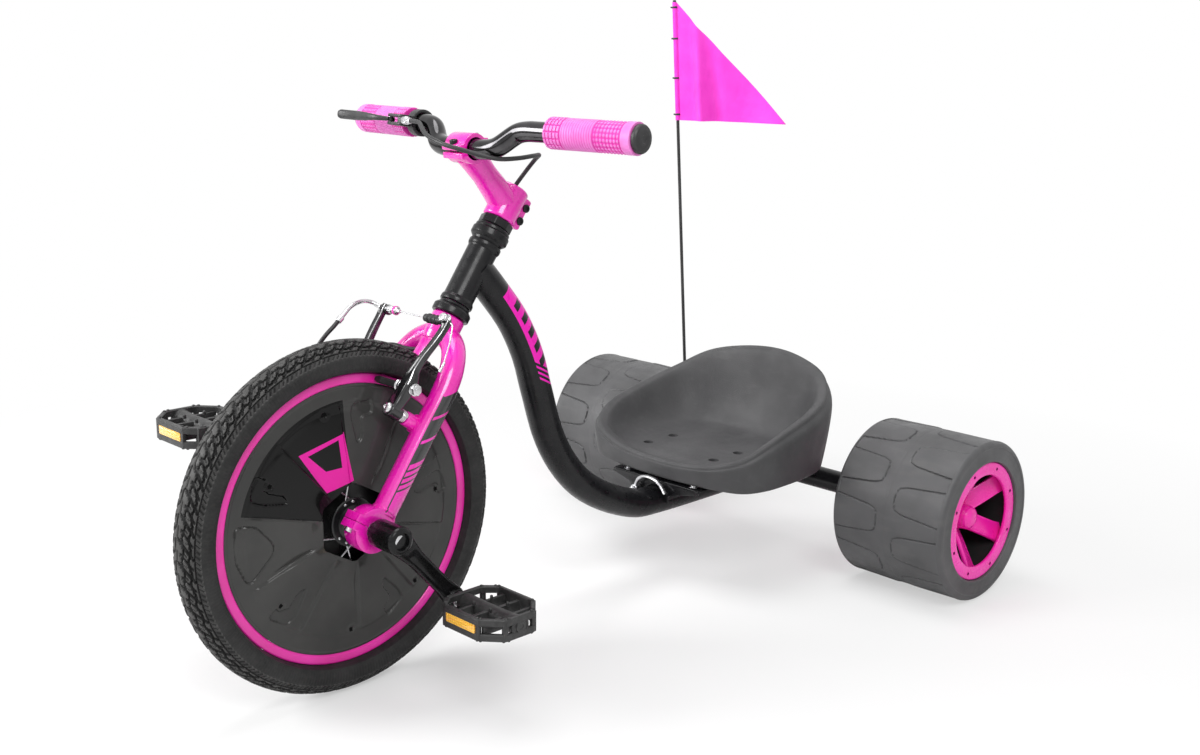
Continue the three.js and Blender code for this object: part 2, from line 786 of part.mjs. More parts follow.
function grip() {
  const bore = boreFor(barRadius);
  const blockEnd = gripBlockLength;
  const band = gripLength - gripBandLength;
  const profile = [
    [bore, 0],
    [gripBlockRadius, 0],
    [gripBlockRadius, blockEnd],
    [gripRadius, blockEnd],
    [gripRadius, band],
    [gripBlockRadius, band],
    [gripBlockRadius, gripLength],
    [bore, gripLength],
  ];
  return aim(turned(profile, roundSteps), gripFoot, barEnd);
}

function plug() {
  const outer = plugThickness + clearance;
  const spigot = (barRadius - barWall) * Math.cos(Math.PI / rodSteps) - clearance;
  const bevel = plugThickness / 3;
  const profile = [
    [0, -plugSpigot],
    [spigot, -plugSpigot],
    [spigot, clearance],
    [plugRadius, clearance],
    [plugRadius, outer - bevel],
    [plugRadius - bevel, outer],
    [0, outer],
  ];
  return aim(turned(profile, tubeSteps), barEnd, barEnd.clone().add(barDirection));
}

for (const [side, place] of [["left", (g) => g], ["right", mirrored]]) {
  add(steering, "grip_" + side, place(grip()), pinkPlastic());
  add(steering, "grip_plug_" + side, place(plug()), blackPlastic());
}

// Brake lever, on the rider's right. Its own frame: Y runs inboard along the bar, X is the
// way the lever reaches and Z is the pivot's direction.
const lever = new THREE.Group();
const leverY = flipY(barDirection).negate();
const leverX = vec(Math.cos(leverTilt * degree), 0, -Math.sin(leverTilt * degree));
leverX.addScaledVector(leverY, -leverX.dot(leverY)).normalize();
const leverZ = leverX.clone().cross(leverY);
const leverBasis = new THREE.Matrix4().makeBasis(leverX, leverY, leverZ);
lever.quaternion.setFromRotationMatrix(leverBasis);
const fromBarMiddle = barEnd.y - leverClampOffset;
lever.position.copy(flipY(onBarEnd(fromBarMiddle / barDirection.y)));
lever.updateMatrix();
steering.add(lever);

const leverPivot = vec(leverPivotReach, -leverPivotShift, 0);

function leverBracket() {
  const half = leverClampWidth / 2;
  const clampRing = disc(leverClampRadius, -half, half);
  const low = -leverBracketHeight / 2;
  const rim = leverPivotShift + 2 * leverPinRadius;
  const outline = [
    [0, -half],
    [leverPivotReach - joinDepth, -rim],
    [leverPivotReach + 2 * leverPinRadius, -leverPivotShift],
    [leverPivotReach + joinDepth, leverPivotShift],
    [adjusterReach + adjusterRadius, leverPivotShift + joinDepth],
    [adjusterReach - adjusterRadius, leverPivotShift + joinDepth],
    [0, half],
  ];
  const body = plate(outline, leverBracketHeight).translate(0, 0, low);
  const rootGap = leverRootHeight + 2 * clearance;
  const slotX = leverPivotReach;
  const slotMiddle = vec(leverPivotReach + 2 * joinDepth, -rim + joinDepth, 0);
  const slot = block(slotX, 2 * rim, rootGap, slotMiddle);
  const bore = disc(boreFor(barRadius), -leverPivotReach, leverPivotReach);
  const pinAt = (z) => vec(leverPivot.x, leverPivot.y, z);
  const pin = rod(pinAt(low), pinAt(-low), leverPinRadius);
  return join(cut(join(clampRing, body), bore, slot), pin);
}

function leverBlade() {
  const r = 2 * leverPinRadius;
  const root = alongPivot(disc(r, -leverRootHeight / 2, leverRootHeight / 2, tubeSteps));
  const reachShares = [
    [0.5, 0.04],
    [0.86, 0.14],
    [1, 0.34],
    [0.92, 0.6],
    [1.02, 0.84],
    [1.25, 1],
  ];
  const widthShares = [1.1, 1, 1, 0.95, 0.95, 1.05];
  const heightShares = [0.45, 0.6, 0.9, 1, 1, 1];
  const middle = reachShares.map(([x, y]) => [
    leverPivot.x + leverBladeReach * x,
    leverPivot.y - leverBladeLength * y,
  ]);
  const rings = middle.map(([x, y], i) => {
    const w = (leverBladeWidth / 2) * widthShares[i];
    const h = (leverBladeHeight / 2) * heightShares[i];
    const cornerShare = 0.5;
    return [
      [-1, -cornerShare],
      [-cornerShare, -1],
      [cornerShare, -1],
      [1, -cornerShare],
      [1, cornerShare],
      [cornerShare, 1],
      [-cornerShare, 1],
      [-1, cornerShare],
    ].map(([a, b]) => vec(x + a * w, y, b * h));
  });
  const first = middle[0];
  const bridge = block(
    first[0] - leverPivot.x + r,
    leverBladeWidth,
    leverRootHeight,
    vec((first[0] + leverPivot.x) / 2 + joinDepth, leverPivot.y - leverBladeWidth / 2, 0),
  );
  const hole = alongPivot(disc(boreFor(leverPinRadius), -leverBladeHeight, leverBladeHeight));
  return cut(join(root, bridge, loft(rings)), hole);
}

function alongPivot(geometry) {
  return geometry.rotateX(Math.PI / 2).translate(leverPivot.x, leverPivot.y, 0);
}

const adjusterFoot = leverPivotShift + joinDepth + clearance;

function barrelAdjuster() {
  const end = adjusterFoot + adjusterLength;
  const step = adjusterFoot + adjusterLength * 0.6;
  const neck = cableRadius + 1.5 * clearance;
  const profile = [
    [0, adjusterFoot],
    [adjusterRadius, adjusterFoot],
    [adjusterRadius, step],
    [neck, step],
    [neck, end],
    [0, end],
  ];
  return turned(profile, rodSteps).translate(adjusterReach, 0, 0);
}

add(lever, "lever_bracket", leverBracket(), blackPlastic());
add(lever, "brake_lever", leverBlade(), blackPlastic());
add(lever, "barrel_adjuster", barrelAdjuster(), brightSteel());

// Rim brake: two arms on the fork's bosses, each with its pad; the right one holds the
// bent tube and boot, and the left one clamps the wire
const wireHeight = brakePivotHeight + brakeWireHeight;
const padPostHeight = brakePivotHeight + padPostRise;
const rimSide = rimWidth / 2;
const armTopOffset = brakePivotOffset + brakeArmSpread;

function brakeArm() {
  // Height, middle set back from the front face, spread, and half sizes forwards and outwards
  const sectionShares = [
    [-0.07, 0.055, 0, 0.035, 0.05],
    [0.03, 0.055, 0, 0.055, 0.075],
    [0.16, 0.07, 0.1, 0.065, 0.07],
    [0.3, 0.075, 0.22, 0.07, 0.068],
    [0.42, 0.052, 0.3, 0.045, 0.045],
    [0.57, 0.048, 0.55, 0.04, 0.038],
    [0.74, 0.062, 0.82, 0.036, 0.038],
    [0.88, 0.072, 0.95, 0.034, 0.038],
    [1, 0.07, 1, 0.038, 0.042],
  ];
  const l = brakeArmLength;
  const rings = sectionShares.map(([z, back, spread, x, y]) => {
    const middle = vec(
      brakeArmFront - l * back,
      brakePivotOffset + brakeArmSpread * spread,
      brakePivotHeight + l * z,
    );
    return [[-1, -1], [1, -1], [1, 1], [-1, 1]].map(([a, b]) =>
      vec(middle.x + a * x * l, middle.y + b * y * l, middle.z),
    );
  });
  const at = (x, y, z) => vec(x, y, z);
  const pivotTube = rod(
    at(brakeBossReach + clearance, brakePivotOffset, brakePivotHeight),
    at(brakeArmFront, brakePivotOffset, brakePivotHeight),
    brakeArmPivotRadius,
    tubeSteps,
  );
  const bolt = rod(
    at(0, brakePivotOffset, brakePivotHeight),
    at(l, brakePivotOffset, brakePivotHeight),
    boreFor(brakeBoltRadius, rodSteps),
  );
  const postBore = boreFor(padPostRadius, rodSteps);
  const post = rod(at(padPostSet, 0, padPostHeight), at(padPostSet, l, padPostHeight), postBore);
  return cut(join(loft(rings), pivotTube), bolt, post);
}

const wireHole = (radius) => {
  const at = (y) => vec(brakeWireSet, y, wireHeight);
  return rod(at(0), at(brakeArmLength), radius);
};

function brakePad() {
  const inner = rimSide + padGap;
  const tilt = Math.asin((padPostSet - forkRake) / padPostHeight);
  const rubber = block(padLength, padThickness, padHeight, vec(0, inner + padThickness / 2, 0));
  rubber.rotateY(tilt).translate(padPostSet, 0, padPostHeight);
  const armFace = brakePivotOffset + brakeArmLength * 0.1;
  const at = (y) => vec(padPostSet, y, padPostHeight);
  const post = rod(at(inner + padThickness / 2), at(armFace + padNutHeight), padPostRadius);
  const nut = rod(at(armFace + clearance), at(armFace + padNutHeight), padNutRadius);
  return join(rubber, post, nut);
}

const leftArm = () => {
  const face = brakeWireSet + brakeArmLength * 0.038;
  const at = (x) => vec(x, armTopOffset - noodleRadius, wireHeight + noodleRadius);
  const head = rod(at(face - joinDepth), at(face + anchorHead), anchorRadius);
  return cut(join(brakeArm(), head), wireHole(brakeWireBore));
};
const rightArm = () => mirrored(cut(brakeArm(), wireHole(boreFor(noodleRadius, rodSteps))));
add(steering, "brake_arm_left", leftArm(), blackPaint());
add(steering, "brake_arm_right", rightArm(), blackPaint());
add(steering, "brake_pad_left", brakePad(), tyreRubber());
add(steering, "brake_pad_right", mirrored(brakePad()), tyreRubber());

// The bent tube that guides the wire, from its head between the arms to its open end
const noodleTip = vec(brakeWireSet, -noodleTipOffset, wireHeight);
const noodleBendShares = [
  [0, 0.5, 0],
  [0, 0.75, 0],
  [0, 0.93, 0],
  [0.18, 1.14, -0.03],
  [0.46, 1.19, 0.1],
  [0.82, 1.12, 0.5],
  [1, 1.03, 1],
];
const noodleRoute = noodleBendShares.map(([x, y, z]) =>
  vec(noodleTip.x + noodleReach * x, noodleTip.y - noodleSweep * y, noodleTip.z - noodleDrop * z),
);
const noodleEnd = noodleRoute[noodleRoute.length - 1];
const noodleOut = noodleEnd.clone().sub(noodleRoute[noodleRoute.length - 2]).normalize();
const ferruleEnd = noodleEnd.clone().addScaledVector(noodleOut, ferruleLength);

function noodle() {
  const bendSteps = 14;
  const pipe = tube(noodleRoute, noodleRadius, bendSteps, rodSteps);
  const along = (distance) => vec(noodleTip.x, noodleTip.y - distance, noodleTip.z);
  const head = rod(along(0), along(noodleHeadLength), noodleHeadRadius);
  const ferruleStart = noodleEnd.clone().addScaledVector(noodleOut, -joinDepth);
  const ferrule = rod(ferruleStart, ferruleEnd, ferruleRadius);
  const bore = rod(along(-overrun), along(noodleHeadLength - 2 * joinDepth), noodleHeadBore);
  return cut(join(pipe, head, ferrule), bore);
}

// The rubber boot is held on the wire beside the left arm.
const bootEnd = armTopOffset - noodleRadius - anchorRadius - clearance;

function cableBoot() {
  const waves = 3;
  const start = bootEnd - bootLength;
  const pitch = bootLength / (waves + 1);
  const outer = [];
  for (let i = 0; i <= waves; i++) {
    outer.push([bootNeck, start + pitch * i]);
    if (i < waves) outer.push([bootRadius, start + pitch * (i + 0.5)]);
  }
  const profile = [[bootBore, start], ...outer, [bootNeck, bootEnd], [bootBore, bootEnd]];
  return turned(profile, rodSteps).translate(noodleTip.x, 0, noodleTip.z);
}

// The bare wire: from inside the bent tube's head, through the boot and the clamp, with a
// tail that hangs in front of the fork leg and ends in a crimp
function brakeWire() {
  const x = brakeWireSet;
  const start = vec(x, noodleTip.y - joinDepth, wireHeight);
  const out = armTopOffset + brakeArmLength * 0.05;
  const straight = rod(start, vec(x, out, wireHeight), brakeWireRadius, wireSteps);
  const tailShares = [
    [0, -0.2, 0],
    [0.08, 0.4, 0.02],
    [0.25, 0.8, 0.17],
    [0.58, 1, 0.48],
    [1, 1, 1],
  ];
  const tail = tailShares.map(([set, spread, drop]) =>
    vec(x - wireTailSet * set, out + wireTailSpread * spread, wireHeight - wireTailDrop * drop),
  );
  const end = tail[tail.length - 1];
  const tailSteps = 8;
  const drop = tube(tail, brakeWireRadius, tailSteps, wireSteps);
  const crimpAt = (z) => vec(end.x, end.y, end.z + z);
  const crimp = rod(crimpAt(joinDepth), crimpAt(-crimpLength), crimpRadius, wireSteps);
  return join(straight, drop, crimp);
}

add(steering, "brake_noodle", noodle(), brightSteel());
add(steering, "brake_boot", cableBoot(), blackPlastic());
add(steering, "brake_wire", brakeWire(), brightSteel());

// Cable housing: from the lever round the front of the stem, down the hollow steerer, out
// under the crown, and in a loop outside the right arm up to the bent tube
function cableHousing() {
  const inLever = (y) => vec(adjusterReach, y, 0).applyMatrix4(lever.matrix);
  const start = adjusterFoot + adjusterLength + clearance;
  const loopShares = [
    [1.45, -0.48, -0.31],
    [1.41, 0.08, -0.49],
    [1.29, 0.48, -0.49],
    [1.13, 0.76, -0.4],
    [0.95, 0.92, -0.22],
    [0.73, 1, 0.18],
    [0.47, 0.92, 0.69],
    [0.28, 0.71, 0.99],
    [0.14, 0.42, 0.99],
    [0.035, 0.145, 0.6],
  ];
  const loop = loopShares.map(([x, y, z]) =>
    vec(stemReach * x, cableLoopSide * y, barHeight + cableLoopRise * z),
  );
  const steererShares = [1, 0.83, 0.54, 0.25, 0.03];
  const steerer = steererShares.map((t) => vec(0, 0, crownHeight + (stemTop - crownHeight) * t));
  const underShares = [
    [0.01, -0.01, 0],
    [0.05, -0.05, 0.2],
    [0.1, -0.17, 0.33],
    [0.16, -0.32, 0.38],
    [0.24, -0.52, 0.4],
    [0.31, -0.7, 0.47],
    [0.39, -0.86, 0.65],
    [0.53, -0.97, 0.87],
    [0.71, -1, 1],
    [0.88, -0.94, 0.95],
    [0.97, -0.87, 0.8],
  ];
  const under = underShares.map(([x, y, z]) =>
    vec(noodleEnd.x * x, cableUnderSide * y, wireHeight - cableUnderDrop * z),
  );
  const end = ferruleEnd.clone().addScaledVector(noodleOut, clearance);
  const lead = ferruleEnd.clone().addScaledVector(noodleOut, cableLead);
  const route = [inLever(start), inLever(start + cableLead), ...loop, ...steerer, ...under, lead, end];
  const cableSteps = 56;
  return tube(route, cableRadius, cableSteps, wireSteps);
}

add(steering, "brake_cable", cableHousing(), blackPlastic());

// Front wheel
const frontWheel = new THREE.Group();
frontWheel.position.set(forkRake, 0, 0);
frontWheel.rotation.y = headTilt; // level, so that its facets meet the ground
steering.add(frontWheel);

function frontTyre() {
  const middle = frontTyreRadius - (frontTyreRadius - rimOuterRadius) * 0.62;
  const seat = rimOuterRadius + clearance;
  const arc = (radial, axial, from, to, count) =>
    Array.from({ length: count }, (_, i) => {
      const a = (from + ((to - from) * i) / (count - 1)) * degree;
      return [middle + radial * Math.cos(a), axial * Math.sin(a)];
    });
  const outerRadial = frontTyreRadius - middle;
  const outerAxial = frontTyreWidth / 2;
  const outer = arc(outerRadial, outerAxial, -118, 118, 7);
  const inner = arc(outerRadial - frontTyreWall, outerAxial - frontTyreWall, 90, -90, 3);
  const bead = rimSide - rimWall - clearance;
  const profile = [
    [seat, -bead - rimWall],
    ...outer,
    [seat, bead + rimWall],
    [seat, bead / 2],
    ...inner,
    [seat, -bead / 2],
  ];
  return turned(profile, tyreSteps);
}

function frontRim() {
  const floor = rimInnerRadius + rimWall * 1.5;
  const inside = rimSide - rimWall;
  const profile = [
    [rimInnerRadius, -rimSide],
    [rimOuterRadius, -rimSide],
    [rimOuterRadius, -inside],
    [floor, -inside],
    [floor, inside],
    [rimOuterRadius, inside],
    [rimOuterRadius, rimSide],
    [rimInnerRadius, rimSide],
  ];
  return turned(profile, tyreSteps);
}

function frontHub() {
  const face = hubFlangeOffset;
  const back = hubFlangeOffset - hubFlangeWall;
  const bore = boreFor(spindleRadius, tubeSteps);
  const profile = [
    [bore, -hubHalfLength],
    [hubBarrelRadius, -hubHalfLength],
    [hubBarrelRadius, -face],
    [hubFlangeRadius, -face],
    [hubFlangeRadius, -back],
    [hubBarrelRadius, -back],
    [hubBarrelRadius, back],
    [hubFlangeRadius, back],
    [hubFlangeRadius, face],
    [hubBarrelRadius, face],
    [hubBarrelRadius, hubHalfLength],
    [bore, hubHalfLength],
  ];
  const spokes = [];
  const crossing = 38 * degree;
  for (const side of [1, -1]) {
    for (let i = 0; i < spokesPerSide; i++) {
      const a = (2 * Math.PI * (i + (side > 0 ? 0 : 0.5))) / spokesPerSide;
      const b = a + (i % 2 ? crossing : -crossing);
      const y = side * (hubFlangeOffset - hubFlangeWall / 2);
      const end = rimInnerRadius * Math.cos(Math.PI / tyreSteps) - clearance;
      const foot = vec(spokeCircle * Math.cos(b), y, spokeCircle * Math.sin(b));
      const tip = vec(end * Math.cos(a), (side * rimSide) / 4, end * Math.sin(a));
      spokes.push(rod(foot, tip, spokeRadius, spokeSides));
    }
  }
  return join(turned(profile, tubeSteps), ...spokes);
}

// A cover's skin between two distances outside its outer face, as a turned form.
function coverSkin(low, high, from, to) {
  const rise = (coverHubOffset - coverRimOffset) / (rimInnerRadius - coverOpening);
  const slope = (r) => coverRimOffset + rise * (rimInnerRadius - r);
  const profile = [
    [from, slope(from) + low],
    [to, slope(to) + low],
    [to, slope(to) + high],
    [from, slope(from) + high],
  ];
  return turned(profile, tyreSteps);
}

// A leaf shape of the wheel's plane, between two points, for pads and recesses.
function leaf(from, to, width, steps = 5) {
  const along = new THREE.Vector2(to[0] - from[0], to[1] - from[1]);
  const across = new THREE.Vector2(-along.y, along.x).normalize();
  const points = [];
  for (let i = 0; i < 2 * steps; i++) {
    const a = (Math.PI * i) / steps;
    const t = 0.5 - 0.5 * Math.cos(a);
    const w = Math.sin(a) * width * 0.5 * (1.25 - t);
    points.push([from[0] + along.x * t + across.x * w, from[1] + along.y * t + across.y * w]);
  }
  return sidePlate(points, 2 * coverHubOffset, 0);
}

function wheelCover() {
  const outer = rimInnerRadius - clearance;
  const skin = coverSkin(-coverWall, 0, 0, outer);
  const raised = coverSkin(-coverWall / 2, coverRelief, 0, outer - coverWall);
  const sunk = coverSkin(-coverRelief, 2 * coverRelief, 0, outer - coverWall);
  const polar = (rShare, angle) => [
    outer * rShare * Math.cos(angle * degree),
    outer * rShare * Math.sin(angle * degree),
  ];
  const repeat = 4;
  let body = skin;
  for (let i = 0; i < repeat; i++) {
    const turn = (360 / repeat) * i;
    const pad = leaf(polar(0.86, turn + 18), polar(0.56, turn + 24), outer * 0.26);
    const recess = leaf(polar(0.78, turn + 52), polar(0.36, turn + 40), outer * 0.075);
    body = join(body, common(pad, raised));
    body = cut(body, common(recess, sunk));
  }
  const corners = 6;
  const opening = disc(coverOpening, 0, 2 * coverHubOffset, corners).rotateY((180 / corners) * degree);
  return cut(body, opening);
}

add(frontWheel, "front_tyre", frontTyre(), tyreRubber());
add(frontWheel, "front_rim", frontRim(), pinkPaint());
add(frontWheel, "front_hub", frontHub(), brightSteel());
const cover = wheelCover();
add(frontWheel, "wheel_cover_left", cover, blackPlastic());
add(frontWheel, "wheel_cover_right", mirrored(cover), blackPlastic());

function spindle() {
  const end = crankBossOuter - 2 * crankBoltHead;
  const head = crankBossOuter - crankBoltHead;
  return join(
    disc(spindleRadius, -end, end, tubeSteps),
    disc(crankBoltRadius, -head, head, rodSteps),
  );
}

add(frontWheel, "front_spindle", spindle(), brightSteel());

// Cranks: the left one at its angle, the right one opposite
function crank() {
  const boss = disc(crankBossRadius, crankBossInner, crankBossOuter, tubeSteps);
  const armFrom = crankBossOuter - crankArmThickness - 1.5 * crankBoltHead + joinDepth;
  const waistShare = 0.78;
  const r = crankEndRadius;
  const outline = [
    [0, -crankBossRadius],
    [crankLength * 0.25, -r * waistShare],
    [crankLength * 0.8, -r * waistShare],
    [crankLength, -r],
    [crankLength + r * 0.7, -r * 0.7],
    [crankLength + r, 0],
    [crankLength + r * 0.7, r * 0.7],
    [crankLength, r],
    [crankLength * 0.8, r * waistShare],
    [crankLength * 0.25, r * waistShare],
    [0, crankBossRadius],
  ];
  const arm = sidePlate(outline, crankArmThickness, armFrom);
  const bore = disc(boreFor(spindleRadius), 0, 2 * crankBossOuter);
  const thread = disc(boreFor(pedalAxleRadius), 0, 2 * crankBossOuter);
  thread.translate(crankLength, 0, 0);
  return cut(join(boss, arm), bore, thread);
}

const crankOuterFace = crankBossOuter - 1.5 * crankBoltHead + joinDepth;

function pedalAxle() {
  const inner = crankOuterFace - crankArmThickness + clearance;
  const collarEnd = pedalInner - clearance;
  const collarStart = crankOuterFace + clearance;
  const end = pedalInner + pedalWidth - pedalWall;
  const shaft = disc(pedalAxleRadius, inner, end, tubeSteps);
  return join(shaft, disc(pedalAxleCollar, collarStart, collarEnd, tubeSteps));
}

function pedal() {
  const [l, w] = [pedalLength / 2, pedalWidth];
  const y = pedalInner;
  const outline = [
    [-l, y + w * 0.16],
    [-l * 0.62, y],
    [l * 0.62, y],
    [l, y + w * 0.16],
    [l, y + w * 0.76],
    [l * 0.5, y + w],
    [-l * 0.5, y + w],
    [-l, y + w * 0.76],
  ];
  const body = plate(outline, pedalThickness).translate(0, 0, -pedalThickness / 2);
  const windowLength = l - pedalWall - pedalBarrelRadius;
  const windowWidth = w - 2 * pedalWall;
  const windowX = pedalBarrelRadius + windowLength / 2;
  const middleY = y + w / 2;
  const through = 2 * pedalThickness;
  const windows = [1, -1].flatMap((sign) => {
    const innerAt = vec(sign * windowX, middleY - windowWidth * 0.26, 0);
    const outerAt = vec(sign * windowX * 0.95, middleY + windowWidth * 0.25, 0);
    return [
      block(windowLength, windowWidth * 0.44, through, innerAt),
      block(windowLength * 0.8, windowWidth * 0.42, through, outerAt),
    ];
  });
  const pockets = [1, -1].map((sign) => {
    const depth = 2 * (reflectorDepth + clearance);
    const length = reflectorLength + 2 * clearance;
    const height = reflectorHeight + 2 * clearance;
    return block(depth, length, height, vec(sign * l, reflectorY, 0));
  });
  const bore = disc(boreFor(pedalAxleRadius), y - overrun, y + w - pedalWall + 1.5 * clearance);
  const cap = disc(pedalCapRadius, y + w - joinDepth, y + w + joinDepth / 2, tubeSteps);
  return cut(join(body, cap), ...windows, ...pockets, bore);
}

const reflectorY = pedalInner + pedalWidth * 0.46;
const reflector = (sign) => {
  const x = sign * (pedalLength / 2 - reflectorDepth / 2);
  return block(reflectorDepth, reflectorLength, reflectorHeight, vec(x, reflectorY, 0));
};

for (const [side, place, angle] of [
  ["left", (g) => g, crankAngle],
  ["right", mirrored, crankAngle + 180],
]) {
  const turn = angle * degree;
  const centre = vec(crankLength * Math.cos(turn), 0, crankLength * Math.sin(turn));
  const level = (g) => place(g.translate(centre.x, 0, centre.z));
  add(frontWheel, "crank_" + side, place(crank().rotateY(-turn)), blackPaint());
  add(frontWheel, "pedal_axle_" + side, place(pedalAxle().translate(centre.x, 0, centre.z)), brightSteel());
  add(frontWheel, "pedal_" + side, level(pedal()), blackPlastic());
  add(frontWheel, "reflector_front_" + side, level(reflector(1)), amber());
  add(frontWheel, "reflector_rear_" + side, level(reflector(-1)), amber());
}

// Rear wheels and axle
const wheelOuter = rearOverallWidth / 2;
const wheelInner = wheelOuter - rearTyreWidth;
const atRear = (geometry) => geometry.translate(rearAxleX, 0, rearTyreRadius);

function slickTyre() {
  const bore = boreFor(rearHubRadius, slickSteps);
  const shoulder = (sign, angles) =>
    angles.map((a) => [
      rearTyreRadius - rearShoulder + rearShoulder * Math.sin(a * degree),
      sign * rearShoulder * Math.cos(a * degree),
    ]);
  const outer = shoulder(1, [0, 45, 90]).map(([r, y]) => [r, wheelOuter - rearShoulder + y]);
  const inner = shoulder(-1, [0, 90]).map(([r, y]) => [r, wheelInner + rearShoulder + y]).reverse();
  const w = rearTyreWall;
  const profile = [
    [bore, wheelOuter],
    ...outer,
    ...inner,
    [bore, wheelInner],
    [bore, wheelInner + w],
    [rearTyreRadius - w, wheelInner + w + rearShoulder / 2],
    [rearTyreRadius - w, wheelOuter - w - rearShoulder / 2],
    [bore, wheelOuter - w],
  ];
  return atRear(turned(profile, slickSteps));
}

function turbineBlade() {
  const root = rearBarrelBore + joinDepth / 2;
  const tip = rearHubRadius - rearDishWall / 2;
  const sections = [0, 1].map((t) => {
    const r = root + (tip - root) * t;
    const inset = rearBladeRootInset + (rearBladeTipInset - rearBladeRootInset) * t ** 0.8;
    const y = wheelOuter - inset - rearBladeWall;
    const twist = rearBladeTwist * degree * (1 - 0.4 * t);
    const [c, s] = [Math.cos(twist), Math.sin(twist)];
    const w = rearBladeWidth / 2;
    const h = rearBladeWall / 2;
    const corners = [[-w, -h], [w, -h], [w, h], [-w, h]];
    return corners.map(([a, b]) => vec(r, y + a * s + b * c, a * c - b * s));
  });
  return loft(sections);
}

function slickHub() {
  const face = wheelOuter - rearLipInset;
  const lipInner = rearHubRadius - rearLipWidth;
  const wall = rearHubRadius - rearDishWall;
  const innerFace = wheelInner + joinDepth;
  const rim = turned(
    [
      [rearHubRadius, face],
      [lipInner, face],
      [lipInner, face - rearLipWall],
      [wall, face - rearLipWall],
      [wall, face - rearDishDepth],
      [rearHubRadius, face - rearDishDepth],
    ],
    slickSteps,
  );
  const barrelEnd = wheelOuter - rearBarrelInset;
  const taper = barrelEnd - rearBarrelInset;
  const back = turned(
    [
      [0, innerFace],
      [rearHubRadius, innerFace],
      [rearHubRadius, innerFace + 2 * rearInnerWall],
      [wall, innerFace + rearInnerWall],
      [0, innerFace + rearInnerWall],
    ],
    slickSteps,
  );
  const barrel = turned(
    [
      [0, innerFace],
      [rearBarrelRadius, innerFace],
      [rearBarrelRadius, taper],
      [rearBarrelTip, barrelEnd],
      [0, barrelEnd],
    ],
    roundSteps,
  );
  const blades = [];
  for (let i = 0; i < rearBladeCount; i++) {
    const angle = rearBladeAngle + (360 / rearBladeCount) * i;
    blades.push(turbineBlade().rotateY(-angle * degree));
  }
  const bore = disc(rearBarrelBore, innerFace - overrun, barrelEnd + overrun);
  return atRear(cut(join(rim, back, barrel, ...blades), bore));
}

function hubCap() {
  const foot = wheelOuter - rearBarrelInset + clearance;
  const dome = [0, 0.35, 0.7, 0.92].map((s) => [rearBarrelTip * s, foot + rearCapDome * Math.sqrt(1 - s * s)]);
  return atRear(turned([[0, foot], [rearBarrelTip, foot], ...dome.reverse()], tubeSteps));
}

const cartridgeTo = wheelOuter - rearBarrelInset - rearNutHeight - 2 * clearance;

function bearingCartridge() {
  const from = wheelInner + joinDepth;
  const bore = boreFor(rearAxleRadius, roundSteps);
  const race = rearBarrelBore * Math.cos(Math.PI / roundSteps) - clearance;
  const profile = [
    [bore, from],
    [race, from],
    [race, from + cartridgeEnd],
    [cartridgeSleeve, from + cartridgeEnd],
    [cartridgeSleeve, cartridgeTo - cartridgeEnd],
    [race, cartridgeTo - cartridgeEnd],
    [race, cartridgeTo],
    [bore, cartridgeTo],
  ];
  return atRear(turned(profile, tubeSteps));
}

function rearAxle() {
  const nutFrom = cartridgeTo + clearance;
  const nutTo = nutFrom + rearNutHeight - clearance;
  const collarFrom = beamHalfLength + clearance;
  const collarTo = wheelInner + joinDepth - clearance;
  const side = [
    disc(rearNutRadius, nutFrom, nutTo, nutSides),
    disc(rearAxleCollar, collarFrom, collarTo, tubeSteps),
  ];
  return atRear(join(disc(rearAxleRadius, -nutTo, nutTo, rodSteps), ...side, ...side.map(mirrored)));
}

for (const [side, place] of [["left", (g) => g], ["right", mirrored]]) {
  add(trike, "slick_tyre_" + side, place(slickTyre()), slickPlastic());
  add(trike, "slick_hub_" + side, place(slickHub()), pinkPlastic());
  add(trike, "slick_cap_" + side, place(hubCap()), pinkPlastic());
  add(trike, "slick_bearings_" + side, place(bearingCartridge()), brightSteel());
}
add(trike, "rear_axle", rearAxle(), brightSteel());

// Seat carriage: a cross plate on a saddle that slides on the spine, with the seat's bolts
const boltX = [seatBoltFront, seatBoltFront - seatBoltSpacing].map((x) => rearAxleX + x);
const plateTop = plateHeight + plateThickness;
const lugX = rearAxleX + plateFront + saddleWall;

// A saddle wall: wide under the plate and narrow beside the tube that it straddles.
function saddle(front) {
  const foot = plateHeight - saddleDrop;
  const end = plateHeight - joinDepth;
  const outline = [
    [-plateHalfWidth, plateHeight + joinDepth],
    [-plateHalfWidth, end],
    [-saddleFoot, foot + saddleDrop * 0.4],
    [-saddleFoot, foot],
    [saddleFoot, foot],
    [saddleFoot, foot + saddleDrop * 0.4],
    [plateHalfWidth, end],
    [plateHalfWidth, plateHeight + joinDepth],
  ];
  return frontPlate(outline, saddleWall, front);
}

